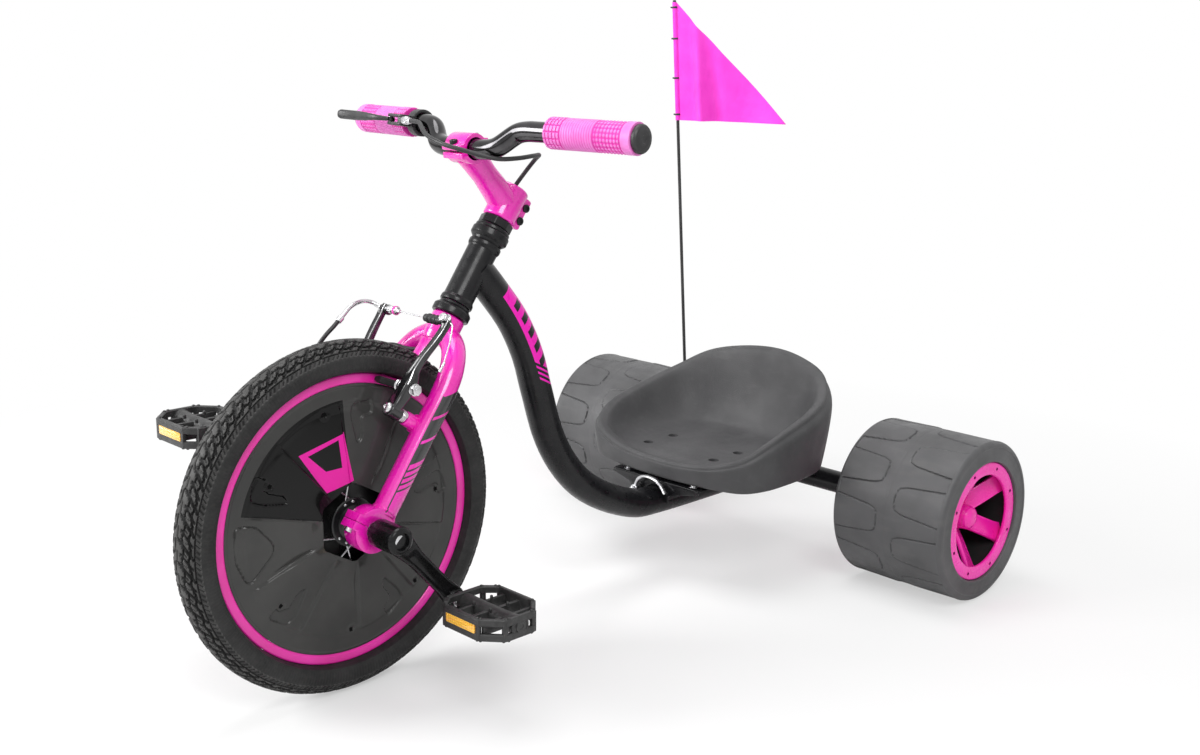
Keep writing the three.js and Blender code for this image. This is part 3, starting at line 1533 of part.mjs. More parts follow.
function seatBracket() {
  const front = rearAxleX + plateFront;
  const back = front - plateLength;
  const top = block(
    plateLength,
    2 * plateHalfWidth,
    plateThickness,
    vec((front + back) / 2, 0, plateHeight + plateThickness / 2),
  );
  const walls = [saddle(front - saddleWall), saddle(back)];
  const side = (sign) => {
    const cheekHeight = saddleDrop - joinDepth;
    const y = sign * (saddleFoot - saddleWall / 2);
    const cheekMiddle = vec((front + back) / 2, y, plateHeight - cheekHeight / 2 + joinDepth);
    return block(plateLength, saddleWall, cheekHeight, cheekMiddle);
  };
  const tubeHole = disc(boreFor(spineRadius, spineSides), 0, 3 * plateLength, spineSides);
  tubeHole.rotateZ(-Math.PI / 2);
  tubeHole.translate(back - plateLength, 0, rearTyreRadius);
  const bolts = boltX.flatMap((x) =>
    [1, -1].flatMap((sign) => {
      const at = (z) => vec(x, sign * seatBoltOffset, z);
      return [
        rod(at(plateHeight), at(seatBoltTop), seatBoltRadius, wireSteps),
        rod(at(seatBoltTop - seatBoltHead), at(seatBoltTop), seatBoltHeadRadius),
      ];
    }),
  );
  const plateBolts = [1, -1].map((sign) => {
    const at = (z) => vec(rearAxleX + plateBoltFront, sign * seatBoltOffset, z);
    return rod(at(plateHeight - plateBoltHead), at(plateTop + plateBoltHead), plateBoltRadius);
  });
  const lug = rod(
    vec(front - joinDepth, lugOffset, lugHeight),
    vec(lugX + lugReach, lugOffset, lugHeight),
    camPinRadius,
  );
  const lugMiddle = vec(front - saddleWall / 2, lugOffset + joinDepth, lugHeight);
  const lugPlate = block(lugWidth, 2 * lugRadius, 2 * lugRadius, lugMiddle);
  return join(cut(join(top, ...walls, side(1), side(-1)), tubeHole), ...bolts, ...plateBolts, lug, lugPlate);
}

function clampLever() {
  const from = lugX + joinDepth;
  const camAt = (x) => vec(x, lugOffset, lugHeight);
  const drum = rod(camAt(from), camAt(from + camWidth), camRadius, tubeSteps);
  const middle = from + camWidth / 2;
  const reachShares = [
    [0, 0.08],
    [0.12, 0.3],
    [0.36, 0.42],
    [0.74, 0.4],
    [0.95, 0.28],
    [1.12, 0.08],
  ];
  const handle = reachShares.map(([y, z]) =>
    vec(middle, lugOffset + camHandleLength * y, lugHeight + camHandleLength * z),
  );
  const handleSteps = 12;
  const bar = tube(handle, camHandleRadius, handleSteps, wireSteps);
  const hole = rod(camAt(from - overrun), camAt(from + camWidth + overrun), camPinRadius + clearance);
  return cut(join(drum, bar), hole);
}

add(trike, "seat_bracket", seatBracket(), blackPaint());
add(trike, "clamp_lever", clampLever(), brightSteel());

// Bucket seat: rings of points from the underside, up the skin, over the rim and down into
// the bowl. Each ring has the same count of points, so a loft joins them.
function seatRings() {
  const rimShares = [
    [0, 0, 1],
    [0.036, 0.37, 0.965],
    [0.108, 0.7, 0.86],
    [0.236, 0.9, 0.68],
    [0.412, 0.98, 0.56],
    [0.596, 1, 0.46],
    [0.78, 0.985, 0.34],
    [0.908, 0.89, 0.19],
    [0.964, 0.64, 0.07],
    [0.992, 0.32, 0.01],
    [1, 0, 0],
  ];
  const steps = 28;
  const closed = (shares) => {
    const far = shares.slice(1, -1).reverse().map(([x, y, z]) => [x, -y, z]);
    const points = [...shares, ...far].map(([x, y, z]) =>
      vec(
        rearAxleX + seatBack + seatLength * x,
        seatHalfWidth * y,
        seatLipHeight + (seatRimHeight - seatLipHeight) * z,
      ),
    );
    return new THREE.CatmullRomCurve3(points, true, "centripetal").getSpacedPoints(steps).slice(0, steps);
  };
  const rim = closed(rimShares);
  const centre = vec(rearAxleX + seatBack + seatLength * 0.52, 0, 0);
  // A point moved outwards from the seat's middle by a distance.
  const outwards = (p, distance, z) => {
    const way = vec(p.x - centre.x, p.y - centre.y, 0).normalize();
    return vec(p.x + way.x * distance, p.y + way.y * distance, z);
  };
  const scaled = (p, share, z) => vec(centre.x + (p.x - centre.x) * share, p.y * share, z);
  const lift = (p) => (p.z - seatLipHeight) / (seatRimHeight - seatLipHeight);
  const base = rim.map((p) => outwards(p, -seatEdge - seatBulge * 0.4 * lift(p), seatBase));
  const floorCentre = vec(centre.x + seatLength * 0.1, 0, seatFloor);
  const floorRing = (share) =>
    rim.map((p) => vec(floorCentre.x + (p.x - floorCentre.x) * share, p.y * share, seatFloor));
  const blend = (a, b, t, u) => {
    const p = a.clone().lerp(b, t);
    return vec(p.x, p.y, a.z + (b.z - a.z) * u);
  };
  const lip = rim.map((p) => outwards(p, -seatWall, p.z - seatRimRound));
  // Height, then how far the skin bulges where the rim is low and where it is high
  const skinShares = [
    [0.32, 0.05, 0.1],
    [0.62, 0.2, 0.35],
    [0.86, 0.25, 0.5],
  ];
  const floorEdge = floorRing(0.66);
  return [
    base.map((p) => scaled(p, 0.6, seatBase)),
    base,
    base.map((p) => outwards(p, seatEdge, seatBase + seatEdge)),
    ...skinShares.map(([height, low, high]) =>
      rim.map((p) => outwards(p, seatBulge * (low + high * lift(p)), seatBase + (p.z - seatBase) * height)),
    ),
    rim.map((p) => outwards(p, 0, p.z - seatRimRound)),
    rim.map((p) => outwards(p, -seatRimRound, p.z)),
    lip,
    lip.map((p, i) => blend(p, floorEdge[i], 0.35, 0.6)),
    lip.map((p, i) => blend(p, floorEdge[i], 0.7, 0.92)),
    floorEdge,
    floorRing(0.5),
  ];
}

function seatShell() {
  const tools = boltX.flatMap((x) =>
    [1, -1].flatMap((sign) => {
      const at = (z) => vec(x, sign * seatBoltOffset, z);
      const seatOfHead = seatBoltTop - seatBoltHead - clearance;
      return [
        rod(at(seatBase - overrun), at(seatOfHead + overrun), seatBoltRadius + clearance, wireSteps),
        rod(at(seatOfHead), at(seatFloor + 4 * overrun), seatBoltHeadRadius + seatBoltMargin, rodSteps),
      ];
    }),
  );
  return cut(loft(seatRings()), ...tools);
}

add(trike, "seat", seatShell(), seatPlastic());

// Flag: a springy pole in its socket, and a pennant sewn round it
function flagPole() {
  const [foot, tip] = flagLine();
  const direction = tip.clone().sub(foot).normalize();
  const start = foot.clone().addScaledVector(direction, beamRadius + joinDepth + clearance);
  return rod(start, tip, flagPoleRadius, wireSteps);
}

function pennant() {
  const [foot, tip] = flagLine();
  const direction = tip.clone().sub(foot).normalize();
  const top = tip.clone().addScaledVector(direction, -flagPoleRadius);
  const stream = vec(-Math.sin(flagStream * degree), Math.cos(flagStream * degree), 0);
  const side = stream.clone().cross(up);
  const [rows, columns] = [6, 11];
  const reach = flagPoleRadius + clearance + flagSleeve / 2;
  const surface = (u, v, offset) => {
    const drop = flagHoist * (1 - (1 - v) * (1 - u));
    const wave = Math.sin(u * 2.2 * Math.PI + v * 1.4) * flagFold * Math.sqrt(u);
    const p = top.clone().addScaledVector(direction, -drop);
    p.addScaledVector(stream, reach + (flagFly - reach) * u);
    return p.addScaledVector(side, wave + offset);
  };
  const endShare = 0.985;
  const rings = [];
  for (let i = 0; i <= columns; i++) {
    const u = (endShare * i) / columns;
    const loop = [];
    for (let j = 0; j <= rows; j++) loop.push(surface(u, j / rows, flagThickness / 2));
    for (let j = rows; j >= 0; j--) loop.push(surface(u, j / rows, -flagThickness / 2));
    rings.push(loop);
  }
  const cloth = loft(rings);
  const low = top.clone().addScaledVector(direction, -flagHoist);
  const outer = rod(low, top, flagPoleRadius + clearance + flagSleeve, rodSteps);
  const hole = rod(
    low.clone().addScaledVector(direction, -overrun),
    top.clone().addScaledVector(direction, overrun),
    flagPoleRadius + clearance,
    rodSteps,
  );
  return cut(join(cloth, outer), hole);
}

add(trike, "flag_pole", flagPole(), blackPlastic());
add(trike, "flag", pennant(), pinkCloth());

export default trike;
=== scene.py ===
import math

import bmesh
import bpy
import numpy as np
from mathutils import Matrix, Vector


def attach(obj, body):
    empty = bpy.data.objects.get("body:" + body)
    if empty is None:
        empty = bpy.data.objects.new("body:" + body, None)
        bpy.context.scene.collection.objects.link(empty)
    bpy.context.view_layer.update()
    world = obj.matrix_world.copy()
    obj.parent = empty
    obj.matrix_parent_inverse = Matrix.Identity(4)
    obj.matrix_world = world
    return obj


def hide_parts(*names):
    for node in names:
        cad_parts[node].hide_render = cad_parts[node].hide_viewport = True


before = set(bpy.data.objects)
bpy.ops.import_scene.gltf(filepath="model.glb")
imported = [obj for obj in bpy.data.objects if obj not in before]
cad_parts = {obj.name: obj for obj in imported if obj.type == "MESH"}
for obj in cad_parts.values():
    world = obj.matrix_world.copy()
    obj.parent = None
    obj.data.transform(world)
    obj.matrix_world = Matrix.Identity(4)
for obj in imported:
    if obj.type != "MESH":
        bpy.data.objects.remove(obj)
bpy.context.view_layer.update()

# ---- Camera: stands ahead of the trike on the rider's left, a little above the bar, and looks
# back and down at it. Its turn, rise, roll and focal length were fitted to the picture's edges.
camera_place = (1.14902, 1.22533, 0.69678)
camera_turn, camera_rise, camera_roll = np.radians([135.2537, 13.3162, 0.68])
camera_lens = 42.512

right = np.array([math.cos(camera_turn), math.sin(camera_turn), 0])
back = np.array([
    math.sin(camera_turn) * math.cos(camera_rise),
    -math.cos(camera_turn) * math.cos(camera_rise),
    math.sin(camera_rise),
])
above = np.cross(back, right)
camera_right = right * math.cos(camera_roll) + above * math.sin(camera_roll)
camera_above = above * math.cos(camera_roll) - right * math.sin(camera_roll)
camera = bpy.data.objects.new("camera", bpy.data.cameras.new("camera"))
camera.data.lens = camera_lens
camera.data.sensor_width = 36
camera.data.sensor_fit = "HORIZONTAL"
camera.data.clip_start, camera.data.clip_end = 0.05, 60
turn = Matrix(np.column_stack([camera_right, camera_above, back]).tolist()).to_4x4()
camera.matrix_world = Matrix.Translation(camera_place) @ turn
bpy.context.scene.collection.objects.link(camera)
bpy.context.scene.camera = camera

# ---- Brake cable: a black rubber-sheathed housing. It leaves the lever's barrel, loops round the
# front of the stem, goes down the hollow steerer and comes out under the crown to the bent tube.
millimetre = 0.001
wheelbase, head_tilt, fork_rake = 736, math.radians(35), 8
front_radius, slick_radius = 195, 106
rear_x = (slick_radius - front_radius - wheelbase) / 2
front_axle = np.array([rear_x + wheelbase, 0, front_radius])


def swung(angle):
    """The three axes turned by an angle about Y, as the rows of a matrix."""
    c, s = math.cos(angle), math.sin(angle)
    return np.array([[c, 0, s], [0, 1, 0], [-s, 0, c]])


steer_axes = swung(head_tilt)
steer_origin = front_axle - fork_rake * steer_axes[0]
world, steering = (np.zeros(3), np.eye(3)), (steer_origin, steer_axes)


def place(points, where):
    """Points of a local frame moved into the trike's: the origin plus each coordinate times its
    axis."""
    origin, axes = where
    return np.asarray(points, float) @ np.asarray(axes) + origin


def unit(vectors):
    """Vectors divided by their own lengths."""
    return vectors / np.linalg.norm(vectors, axis=-1, keepdims=True)


def distances(line):
    """The distance run along a line at each of its points: the sum of the steps up to there."""
    return np.r_[0, np.cumsum(np.linalg.norm(np.diff(line, axis=0), axis=1))]


def smooth_line(points, count, closed=False):
    """A centripetal Catmull-Rom curve: each span is a cubic between two points, with slopes from
    the neighbours divided by the square roots of their distances. It is then spaced evenly."""
    p = np.asarray(points, float)
    ends = (p[-1:], p[:2]) if closed else (2 * p[:1] - p[1:2], 2 * p[-1:] - p[-2:-1])
    p = np.vstack([ends[0], p, ends[1]])
    gap = np.sqrt(np.linalg.norm(np.diff(p, axis=0), axis=1))[:, None]
    a, b, c, d = p[:-3], p[1:-2], p[2:-1], p[3:]
    g, h, k = gap[:-2], gap[1:-1], gap[2:]
    slope_b = ((b - a) / g - (c - a) / (g + h) + (c - b) / h) * h
    slope_c = ((c - b) / h - (d - b) / (h + k) + (d - c) / k) * h
    t = np.linspace(0, 1, 24, endpoint=False)[:, None, None]
    cubic = (
        (2 * t**3 - 3 * t**2 + 1) * b + (t**3 - 2 * t**2 + t) * slope_b
        + (3 * t**2 - 2 * t**3) * c + (t**3 - t**2) * slope_c
    )
    line = np.vstack([cubic.transpose(1, 0, 2).reshape(-1, p.shape[1]), c[-1:]])
    run = distances(line)
    at = np.linspace(0, run[-1], count + 1)[:-1] if closed else np.linspace(0, run[-1], count)
    return np.column_stack([np.interp(at, run, line[:, i]) for i in range(line.shape[1])])


def turns(count):
    """Evenly spaced angles once round, the last one a step short of the first."""
    return np.linspace(0, 2 * np.pi, count, endpoint=False)


def circle(radius, sides=24):
    """A ring of points: the radius times the cosine and sine of evenly spaced angles."""
    a = turns(sides)
    return radius * np.column_stack([np.cos(a), np.sin(a)])


def level(flat, height):
    """The points of a flat outline as points in space, at a height."""
    return np.column_stack([flat, np.broadcast_to(height, len(flat))])


def carry(path, section, side=None):
    """A section carried along a path: at each step the section's two coordinates times the two
    directions square to the path, which turn with it as little as they can."""
    path, section = np.asarray(path, float), np.asarray(section, float)
    along = unit(np.gradient(path, axis=0))
    first = np.asarray(side if side is not None else np.eye(3)[np.abs(along[0]).argmin()], float)
    sides = np.empty_like(along)
    for i, way in enumerate(along):
        first = sides[i] = unit(first - way * (first @ way))
    ups = np.cross(along, sides)
    if section.ndim == 2:
        section = np.broadcast_to(section, (len(path), *section.shape))
    return path[:, None] + section[..., :1] * sides[:, None] + section[..., 1:] * ups[:, None]


def skin(grid, finish=0, round_rows=False, caps=True):
    """Quads between the neighbouring rows and columns of a grid of points. The last column joins
    the first, the last row joins the first where it closes, and a cap closes each open end."""
    grid = np.asarray(grid, float)
    rows, columns = grid.shape[:2]
    index = np.arange(rows * columns).reshape(rows, columns)
    if round_rows:
        index = np.vstack([index, index[:1]])
    index = np.hstack([index, index[:, :1]])
    corners = [index[:-1, :-1], index[:-1, 1:], index[1:, 1:], index[1:, :-1]]
    faces = np.stack(corners, -1).reshape(-1, 4).tolist()
    if caps and not round_rows:
        faces += [index[0, :-1].tolist(), index[-1, :-1][::-1].tolist()]
    return grid.reshape(-1, 3), faces, finish


def put(name, shells, body, finishes, nodes=(), crease=35, where=world):
    """Joins shells into one mesh in metres, merges what meets, turns the faces outwards, rounds
    the shading under a crease angle, gives the piece its finishes and its body, and hides the
    imported parts of its nodes."""
    spots, faces, kinds, count = [], [], [], 0
    for points, quads, kind in shells:
        spots.append(place(points, where) * millimetre)
        faces += [[i + count for i in quad] for quad in quads]
        kinds += np.broadcast_to(kind, len(quads)).tolist()
        count += len(points)
    mesh = bpy.data.meshes.new(name)
    mesh.from_pydata(np.vstack(spots).tolist(), [], faces)
    mesh.polygons.foreach_set("material_index", kinds)
    for finish in finishes:
        mesh.materials.append(finish.material)
    work = bmesh.new()
    work.from_mesh(mesh)
    bmesh.ops.remove_doubles(work, verts=work.verts, dist=2e-6)
    bmesh.ops.recalc_face_normals(work, faces=work.faces)
    work.to_mesh(mesh)
    work.free()
    mesh.polygons.foreach_set("use_smooth", [True] * len(mesh.polygons))
    mesh.set_sharp_from_angle(angle=math.radians(crease))
    piece = bpy.data.objects.new(name, mesh)
    bpy.context.scene.collection.objects.link(piece)
    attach(piece, body)
    if nodes:
        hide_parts(*nodes)
    return piece


def operator(how, swapped=False):
    """A method that adds a Math node, whose inputs are the value and what it is combined with."""
    def method(value, *other):
        return value.finish.math(how, *((*other, value) if swapped else (value, *other)))
    return method


class Value:
    """One socket of a finish. A sum of it adds a Math node, and a sum of numbers stays a number."""

    def __init__(self, finish, socket):
        self.finish, self.socket = finish, socket

    __add__ = __radd__ = operator("ADD")
    __mul__ = __rmul__ = operator("MULTIPLY")
    __sub__, __rsub__ = operator("SUBTRACT"), operator("SUBTRACT", swapped=True)
    __truediv__, __abs__ = operator("DIVIDE"), operator("ABSOLUTE")
    __lt__, __gt__ = operator("LESS_THAN"), operator("GREATER_THAN")


class Finish:
    """A material. What is the same all over is set on the shader's own sockets, and what changes
    over the surface is worked out from the piece's own coordinates and linked."""

    def __init__(self, name, owners=bpy.data.materials, shader="Principled BSDF", **same):
        self.material = owners.new(name)
        self.material.use_nodes = True
        self.tree = self.material.node_tree
        self.shader = self.tree.nodes[shader]
        for socket, value in same.items():
            self.feed(socket.replace("_", " ").title().replace("Ior", "IOR"), value)
        self.spot = self.node("TexCoord", out="Object")

    def node(self, kind, settings={}, inputs={}, out=0):
        """Adds a node of a kind, with its settings first and then its inputs' values or links."""
        made = self.tree.nodes.new("ShaderNode" + kind)
        for key, value in settings.items():
            setattr(made, key, value)
        for key, value in inputs.items():
            if isinstance(value, Value):
                self.tree.links.new(value.socket, made.inputs[key])
            else:
                made.inputs[key].default_value = value
        return Value(self, made.outputs[out])

    def math(self, how, *values):
        """A Math node's result for one, two or three values."""
        return self.node("Math", {"operation": how}, dict(enumerate(values)))

    def feed(self, socket, value):
        """Links a value to a socket of the shader, or sets it to a plain number or colour."""
        if isinstance(value, Value):
            self.tree.links.new(value.socket, self.shader.inputs[socket])
        elif isinstance(value, tuple) and len(value) == 3:
            self.shader.inputs[socket].default_value = (*value, 1)
        else:
            self.shader.inputs[socket].default_value = value

    def mix(self, mask, without, within):
        """The first colour where the mask is 0 and the second where it is 1."""
        colours = [c if isinstance(c, Value) else (*c, 1) for c in (without, within)]
        settings = {"data_type": "RGBA", "clamp_factor": True}
        return self.node("Mix", settings, {0: mask, 6: colours[0], 7: colours[1]}, 2)

    def turned(self, turn=(0, 0, 0), scale=(1, 1, 1), shift=(0, 0, 0)):
        """The piece's own coordinates, turned, scaled and then shifted."""
        inputs = {"Vector": self.spot, "Rotation": turn, "Scale": scale, "Location": shift}
        return self.node("Mapping", {}, inputs)

    def parts(self, vector=None):
        """The three coordinates of a vector, as values."""
        split = self.node("SeparateXYZ", {}, {0: vector or self.spot})
        return [Value(self, split.socket.node.outputs[i]) for i in range(3)]

    def noise(self, size, detail=2, stretch=(1, 1, 1), low=0.35, high=0.65):
        """Soft noise from 0 to 1, with lumps of about that size in millimetres."""
        at = self.turned(scale=tuple(s / (size * millimetre) for s in stretch))
        raw = self.node("TexNoise", {}, {"Vector": at, "Scale": 1, "Detail": detail})
        return self.span(raw, low, high)

    def span(self, value, low, high):
        """0 below low, 1 above high and a straight line between."""
        inputs = {"Value": value, "From Min": low, "From Max": high}
        return self.node("MapRange", {"clamp": True}, inputs)

    def surface(self, dark, light, rough, bumps, blotch=40):
        """The common build of a finish: two near colours in soft blotches, a roughness between
        two numbers, and bumps added into one relief. Each bump is a height in millimetres, then a
        value or what a noise takes."""
        patch = self.noise(blotch, 3)
        self.colour = self.mix(patch, dark, light)
        self.feed("Base Color", self.colour)
        self.feed("Roughness", rough[0] + (rough[1] - rough[0]) * self.noise(blotch / 3, 4))
        relief = sum(
            (form[0] if isinstance(form[0], Value) else self.noise(*form)) * (height * millimetre)
            for height, *form in bumps)
        bump = {"Strength": 1, "Distance": 1, "Height": relief}
        self.feed("Normal", self.node("Bump", {}, bump))
        return self

    def cover(self, mask, colour):
        """Lays a colour over the finish's own where a mask is 1."""
        self.colour = self.mix(mask, self.colour, colour)
        self.feed("Base Color", self.colour)
        return self

    def dust(self, amount, colour, *noise):
        """Lays a colour over the finish's own in soft lumps of noise, up to an amount."""
        return self.cover(self.noise(*noise) * amount, colour)


cable_rubber = Finish("cable_rubber", specular_ior_level=0.45).surface(
    (0.012, 0.012, 0.013), (0.022, 0.022, 0.023), (0.38, 0.55), [(0.01, 0.5)])
cable_radius = 2.5
crown_height, bar_height, stem_reach = 246, 418.2, 85
steerer_length = bar_height - crown_height
wire_height, wire_ahead = 230, 44

# The bar's straight right end, and the lever's frame on it: inboard, forwards and the pivot's way
bar_knee = np.array([stem_reach - 0.5, 90, bar_height + 27])
bar_end = np.array([stem_reach - 16, 231, bar_height + 37])
bar_way = unit(bar_end - bar_knee)
flip = np.array([1, -1, 1])
lever_along = -bar_way * flip
lever_down = math.radians(27)
lever_out = swung(-lever_down)[0]
lever_out = unit(lever_out - lever_along * (lever_out @ lever_along))
lever_clamp_offset = 103
lever_foot = (bar_end - bar_way * ((bar_end[1] - lever_clamp_offset) / bar_way[1])) * flip
lever_axes = np.array([lever_out, lever_along, np.cross(lever_out, lever_along)])
lever = (place(lever_foot, steering), lever_axes @ steer_axes)
noodle_tip = np.array([wire_ahead, -27, wire_height])
noodle_shares = np.array([
    [0, 0.5, 0], [0, 0.75, 0], [0, 0.93, 0], [0.18, 1.14, -0.03], [0.46, 1.19, 0.1],
    [0.82, 1.12, 0.5], [1, 1.03, 1],
])
noodle_route = noodle_tip + noodle_shares * [37, -39, -33]
noodle_way = unit(noodle_route[-1] - noodle_route[-2])
ferrule_length = 8
ferrule_end = noodle_route[-1] + noodle_way * ferrule_length
loop_shares = np.array([
    [1.376, -0.9, 0.27], [1.41, -0.7, 0.06], [1.43, -0.42, -0.24], [1.41, 0.08, -0.49],
    [1.29, 0.48, -0.49], [1.13, 0.76, -0.4], [0.95, 0.92, -0.22], [0.73, 1, 0.18],
    [0.47, 0.92, 0.69], [0.28, 0.71, 0.99], [0.14, 0.42, 0.99], [0.035, 0.145, 0.6],
])
under_shares = np.array([
    [0.01, -0.01, 0], [0.05, -0.05, 0.2], [0.1, -0.17, 0.33], [0.16, -0.32, 0.38],
    [0.24, -0.52, 0.4], [0.31, -0.7, 0.49], [0.4, -0.86, 0.67], [0.52, -0.96, 0.88],
    [0.67, -1, 1.03], [0.86, -0.98, 1.1], [1.02, -0.91, 1.06], [1.1, -0.84, 0.92],
    [1.11, -0.79, 0.76],
])
steerer_shares = np.array([1, 0.83, 0.54, 0.25, 0.03])[:, None]
cable_route = np.vstack([
    place([[31, 31.6, 0], [31, 39.6, 0]], (lever_foot, lever_axes)),
    [0, 0, bar_height] + loop_shares * [stem_reach, 62, 33],
    [0, 0, crown_height] + steerer_shares * [0, 0, steerer_length],
    [0, 0, wire_height] + under_shares * [noodle_route[-1][0], 83, -80],
    [ferrule_end + noodle_way * 8, ferrule_end + noodle_way * 0.3],
])
cable_line = place(smooth_line(cable_route, 260), steering)
cable_grid = carry(cable_line, circle(cable_radius, 12))
cable = put(
    "cable_housing", [skin(cable_grid)], "fork", [cable_rubber], ["brake_cable"],
)


# ---- Brake wire: a bare twisted steel wire. It comes out of the bent tube's head, runs through the
# boot to the left arm's clamp, and its tail hangs in front of the fork leg and ends in a crimp.
# The steel is zinc-plated or polished: fine turning lines, soft blotches and a few dull scuffs.
bright_steel = Finish("bright_steel", metallic=1, specular_ior_level=0.5).surface(
    (0.5, 0.5, 0.52), (0.66, 0.66, 0.67), (0.2, 0.36), [(0.006, 0.25, 2, (1, 0.12, 1))], 18,
).dust(0.35, (0.3, 0.3, 0.31), 6, 4, (1, 1, 1), 0.5, 0.75)
arm_top_offset, arm_length = 57, 114
wire_out = arm_top_offset + arm_length * 0.05
tail_shares = np.array([[0, -0.2, 0], [0.08, 0.4, 0.02], [0.25, 0.8, 0.17], [0.58, 1, 0.48],
    [1, 1, 1]])
tail = [wire_ahead, wire_out, wire_height] + tail_shares * [-12, 5, -42]
wire_start = np.array([wire_ahead, noodle_tip[1] - 2, wire_height])
stretch_of_wire = np.linspace(wire_start, tail[0] - [0, 6, 0], 5)
wire_line = place(smooth_line(np.vstack([stretch_of_wire, tail]), 150), steering)
strands = turns(14)
twist = np.linspace(0, 60, len(wire_line))[:, None]
strand_radius = 0.74 + 0.06 * np.cos(6 * (strands + twist))
strand_ring = np.stack([strand_radius * np.cos(strands), strand_radius * np.sin(strands)], -1)
wire = put(
    "wire_strand", [skin(carry(wire_line, strand_ring))], "brake_arm_left", [bright_steel],
    ["brake_wire"], crease=60,
)


def lathe(profile, sides=32):
    """A profile of (radius, distance) pairs turned about the local Y axis."""
    r, y = np.asarray(profile, float).T
    a = turns(sides)
    return np.stack([np.outer(r, np.cos(a)), np.outer(y, np.ones(sides)), np.outer(r, np.sin(a))],
        -1)


def square_to(way):
    """A direction at right angles to another: its cross product with the axis it least follows."""
    return unit(np.cross(way, np.eye(3)[np.abs(way).argmin()]))


def aim(points, foot, tip):
    """Points of a form that stands on the Y axis, moved so that it stands on the foot and points
    at the tip: Y times the direction, X and Z times two directions square to it."""
    way = unit(np.subtract(tip, foot))
    side = square_to(way)
    return np.asarray(points) @ np.array([side, way, np.cross(side, way)]) + foot


def fillet(corners, radius, closed=True, steps=4):
    """Rounds corners: each becomes a quadratic curve that leaves one edge and meets the next at
    that distance from the corner, or at less than half an edge."""
    p = np.asarray(corners, float)
    to_last, to_next = np.roll(p, 1, 0) - p, np.roll(p, -1, 0) - p
    last_run = np.linalg.norm(to_last, axis=1)[:, None] + 1e-9
    next_run = np.linalg.norm(to_next, axis=1)[:, None] + 1e-9
    reach = np.minimum(np.reshape(radius, (-1, 1)), 0.48 * np.minimum(last_run, next_run))
    start, end = p + to_last / last_run * reach, p + to_next / next_run * reach
    t = np.linspace(0, 1, steps + 1)[:, None, None]
    curve = ((1 - t) ** 2 * start + 2 * t * (1 - t) * p + t**2 * end).transpose(1, 0, 2)
    if closed:
        return curve.reshape(-1, p.shape[1])
    return np.vstack([p[:1], curve[1:-1].reshape(-1, p.shape[1]), p[-1:]])


def spindle(foot, tip, *profile, edge=0.5, sides=32, finish=0):
    """A solid turned form between two points: its profile is (radius, share of the length) pairs
    with rounded corners, and both ends close on the axis."""
    length = np.linalg.norm(np.subtract(tip, foot))
    corners = np.array([(0, profile[0][1]), *profile, (0, profile[-1][1])]) * [1, length]
    return skin(aim(lathe(fillet(corners, edge, closed=False), sides), foot, tip), finish,
        caps=False)


def rod(foot, tip, radius, edge=0.5, sides=32, finish=0):
    """A plain round bar between two points, with rounded ends."""
    return spindle(foot, tip, (radius, 0), (radius, 1), edge=edge, sides=sides, finish=finish)


def hoop(foot, tip, profile, edge=0.5, sides=48, finish=0):
    """A closed profile of (radius, distance) pairs with rounded corners, turned round an axis."""
    return skin(aim(lathe(fillet(profile, edge), sides), foot, tip), finish, round_rows=True)


crimp_foot = tail[-1] + [0, 0, 2]
crimp_profile = [(1.3, 0), (1.6, 0.15), (1.6, 0.4), (1.25, 0.5), (1.6, 0.6), (1.6, 1)]
crimp = put(
    "wire_crimp",
    [spindle(crimp_foot, crimp_foot - [0, 0, 12], *crimp_profile, edge=0.3, sides=20)],
    "brake_arm_left", [bright_steel], where=steering,
)

# ---- Frame: a steel head tube, a bent spine tube and a rear cross beam, welded together and
# powder-coated satin black. A pink field with black bars and thin stripes is printed on the spine.


def coat_finish(name):
    """Satin black powder coat: a fine orange-peel relief, faint dust and a slow change of sheen."""
    made = Finish(name, specular_ior_level=0.22, coat_weight=0.1, coat_roughness=0.06)
    made.surface((0.004, 0.004, 0.005), (0.009, 0.009, 0.01), (0.24, 0.38), [(0.02, 1.1)], 30)
    return made.dust(0.25, (0.022, 0.022, 0.021), 9, 5, (1, 1, 1), 0.5, 0.8)


def pink_finish(name, dark, light, rough, coat):
    """Bright pink: slow colour drift, a slight orange peel, and a clear coat over it."""
    made = Finish(name, specular_ior_level=0.5, coat_weight=coat, coat_roughness=0.06)
    return made.surface(dark, light, rough, [(0.012, 2.2)], 45)


black_paint = coat_finish("black_paint")
pink_dark, pink_light = (0.76, 0.004, 0.37), (0.88, 0.01, 0.48)
pink_paint = pink_finish("pink_paint", pink_dark, pink_light, (0.22, 0.34), 0.8)
spine_radius, spine_straight, head_foot, head_length, beam_half = 19, 250, 266.6, 78, 178
rear_axle_at = np.array([rear_x, 0, slick_radius])
spine_start = rear_axle_at + [spine_straight, 0, 0]
spine_end = place([0, 0, head_foot + 48.4], steering)
spine_shares = np.array([
    [0, 0], [0.1, 0.008], [0.29, 0.071], [0.44, 0.155], [0.547, 0.258], [0.62, 0.37],
    [0.687, 0.546], [0.733, 0.673], [0.808, 0.799], [0.909, 0.91], [1, 1],
])
spine_bends = spine_start + (spine_end - spine_start) * np.column_stack(
    [spine_shares[:, 0], np.zeros(len(spine_shares)), spine_shares[:, 1]])
spine_line = smooth_line(np.vstack([rear_axle_at, spine_bends]), 150)


def within(value, low, high):
    """1 where a shader value lies between two numbers, else 0."""
    return (value > low) * (value < high)


def bars_on(made, value, start, pitch, share):
    """1 on the first share of every pitch of a shader value, counted from a start."""
    return made.math("FRACT", (value - start) / pitch) < share


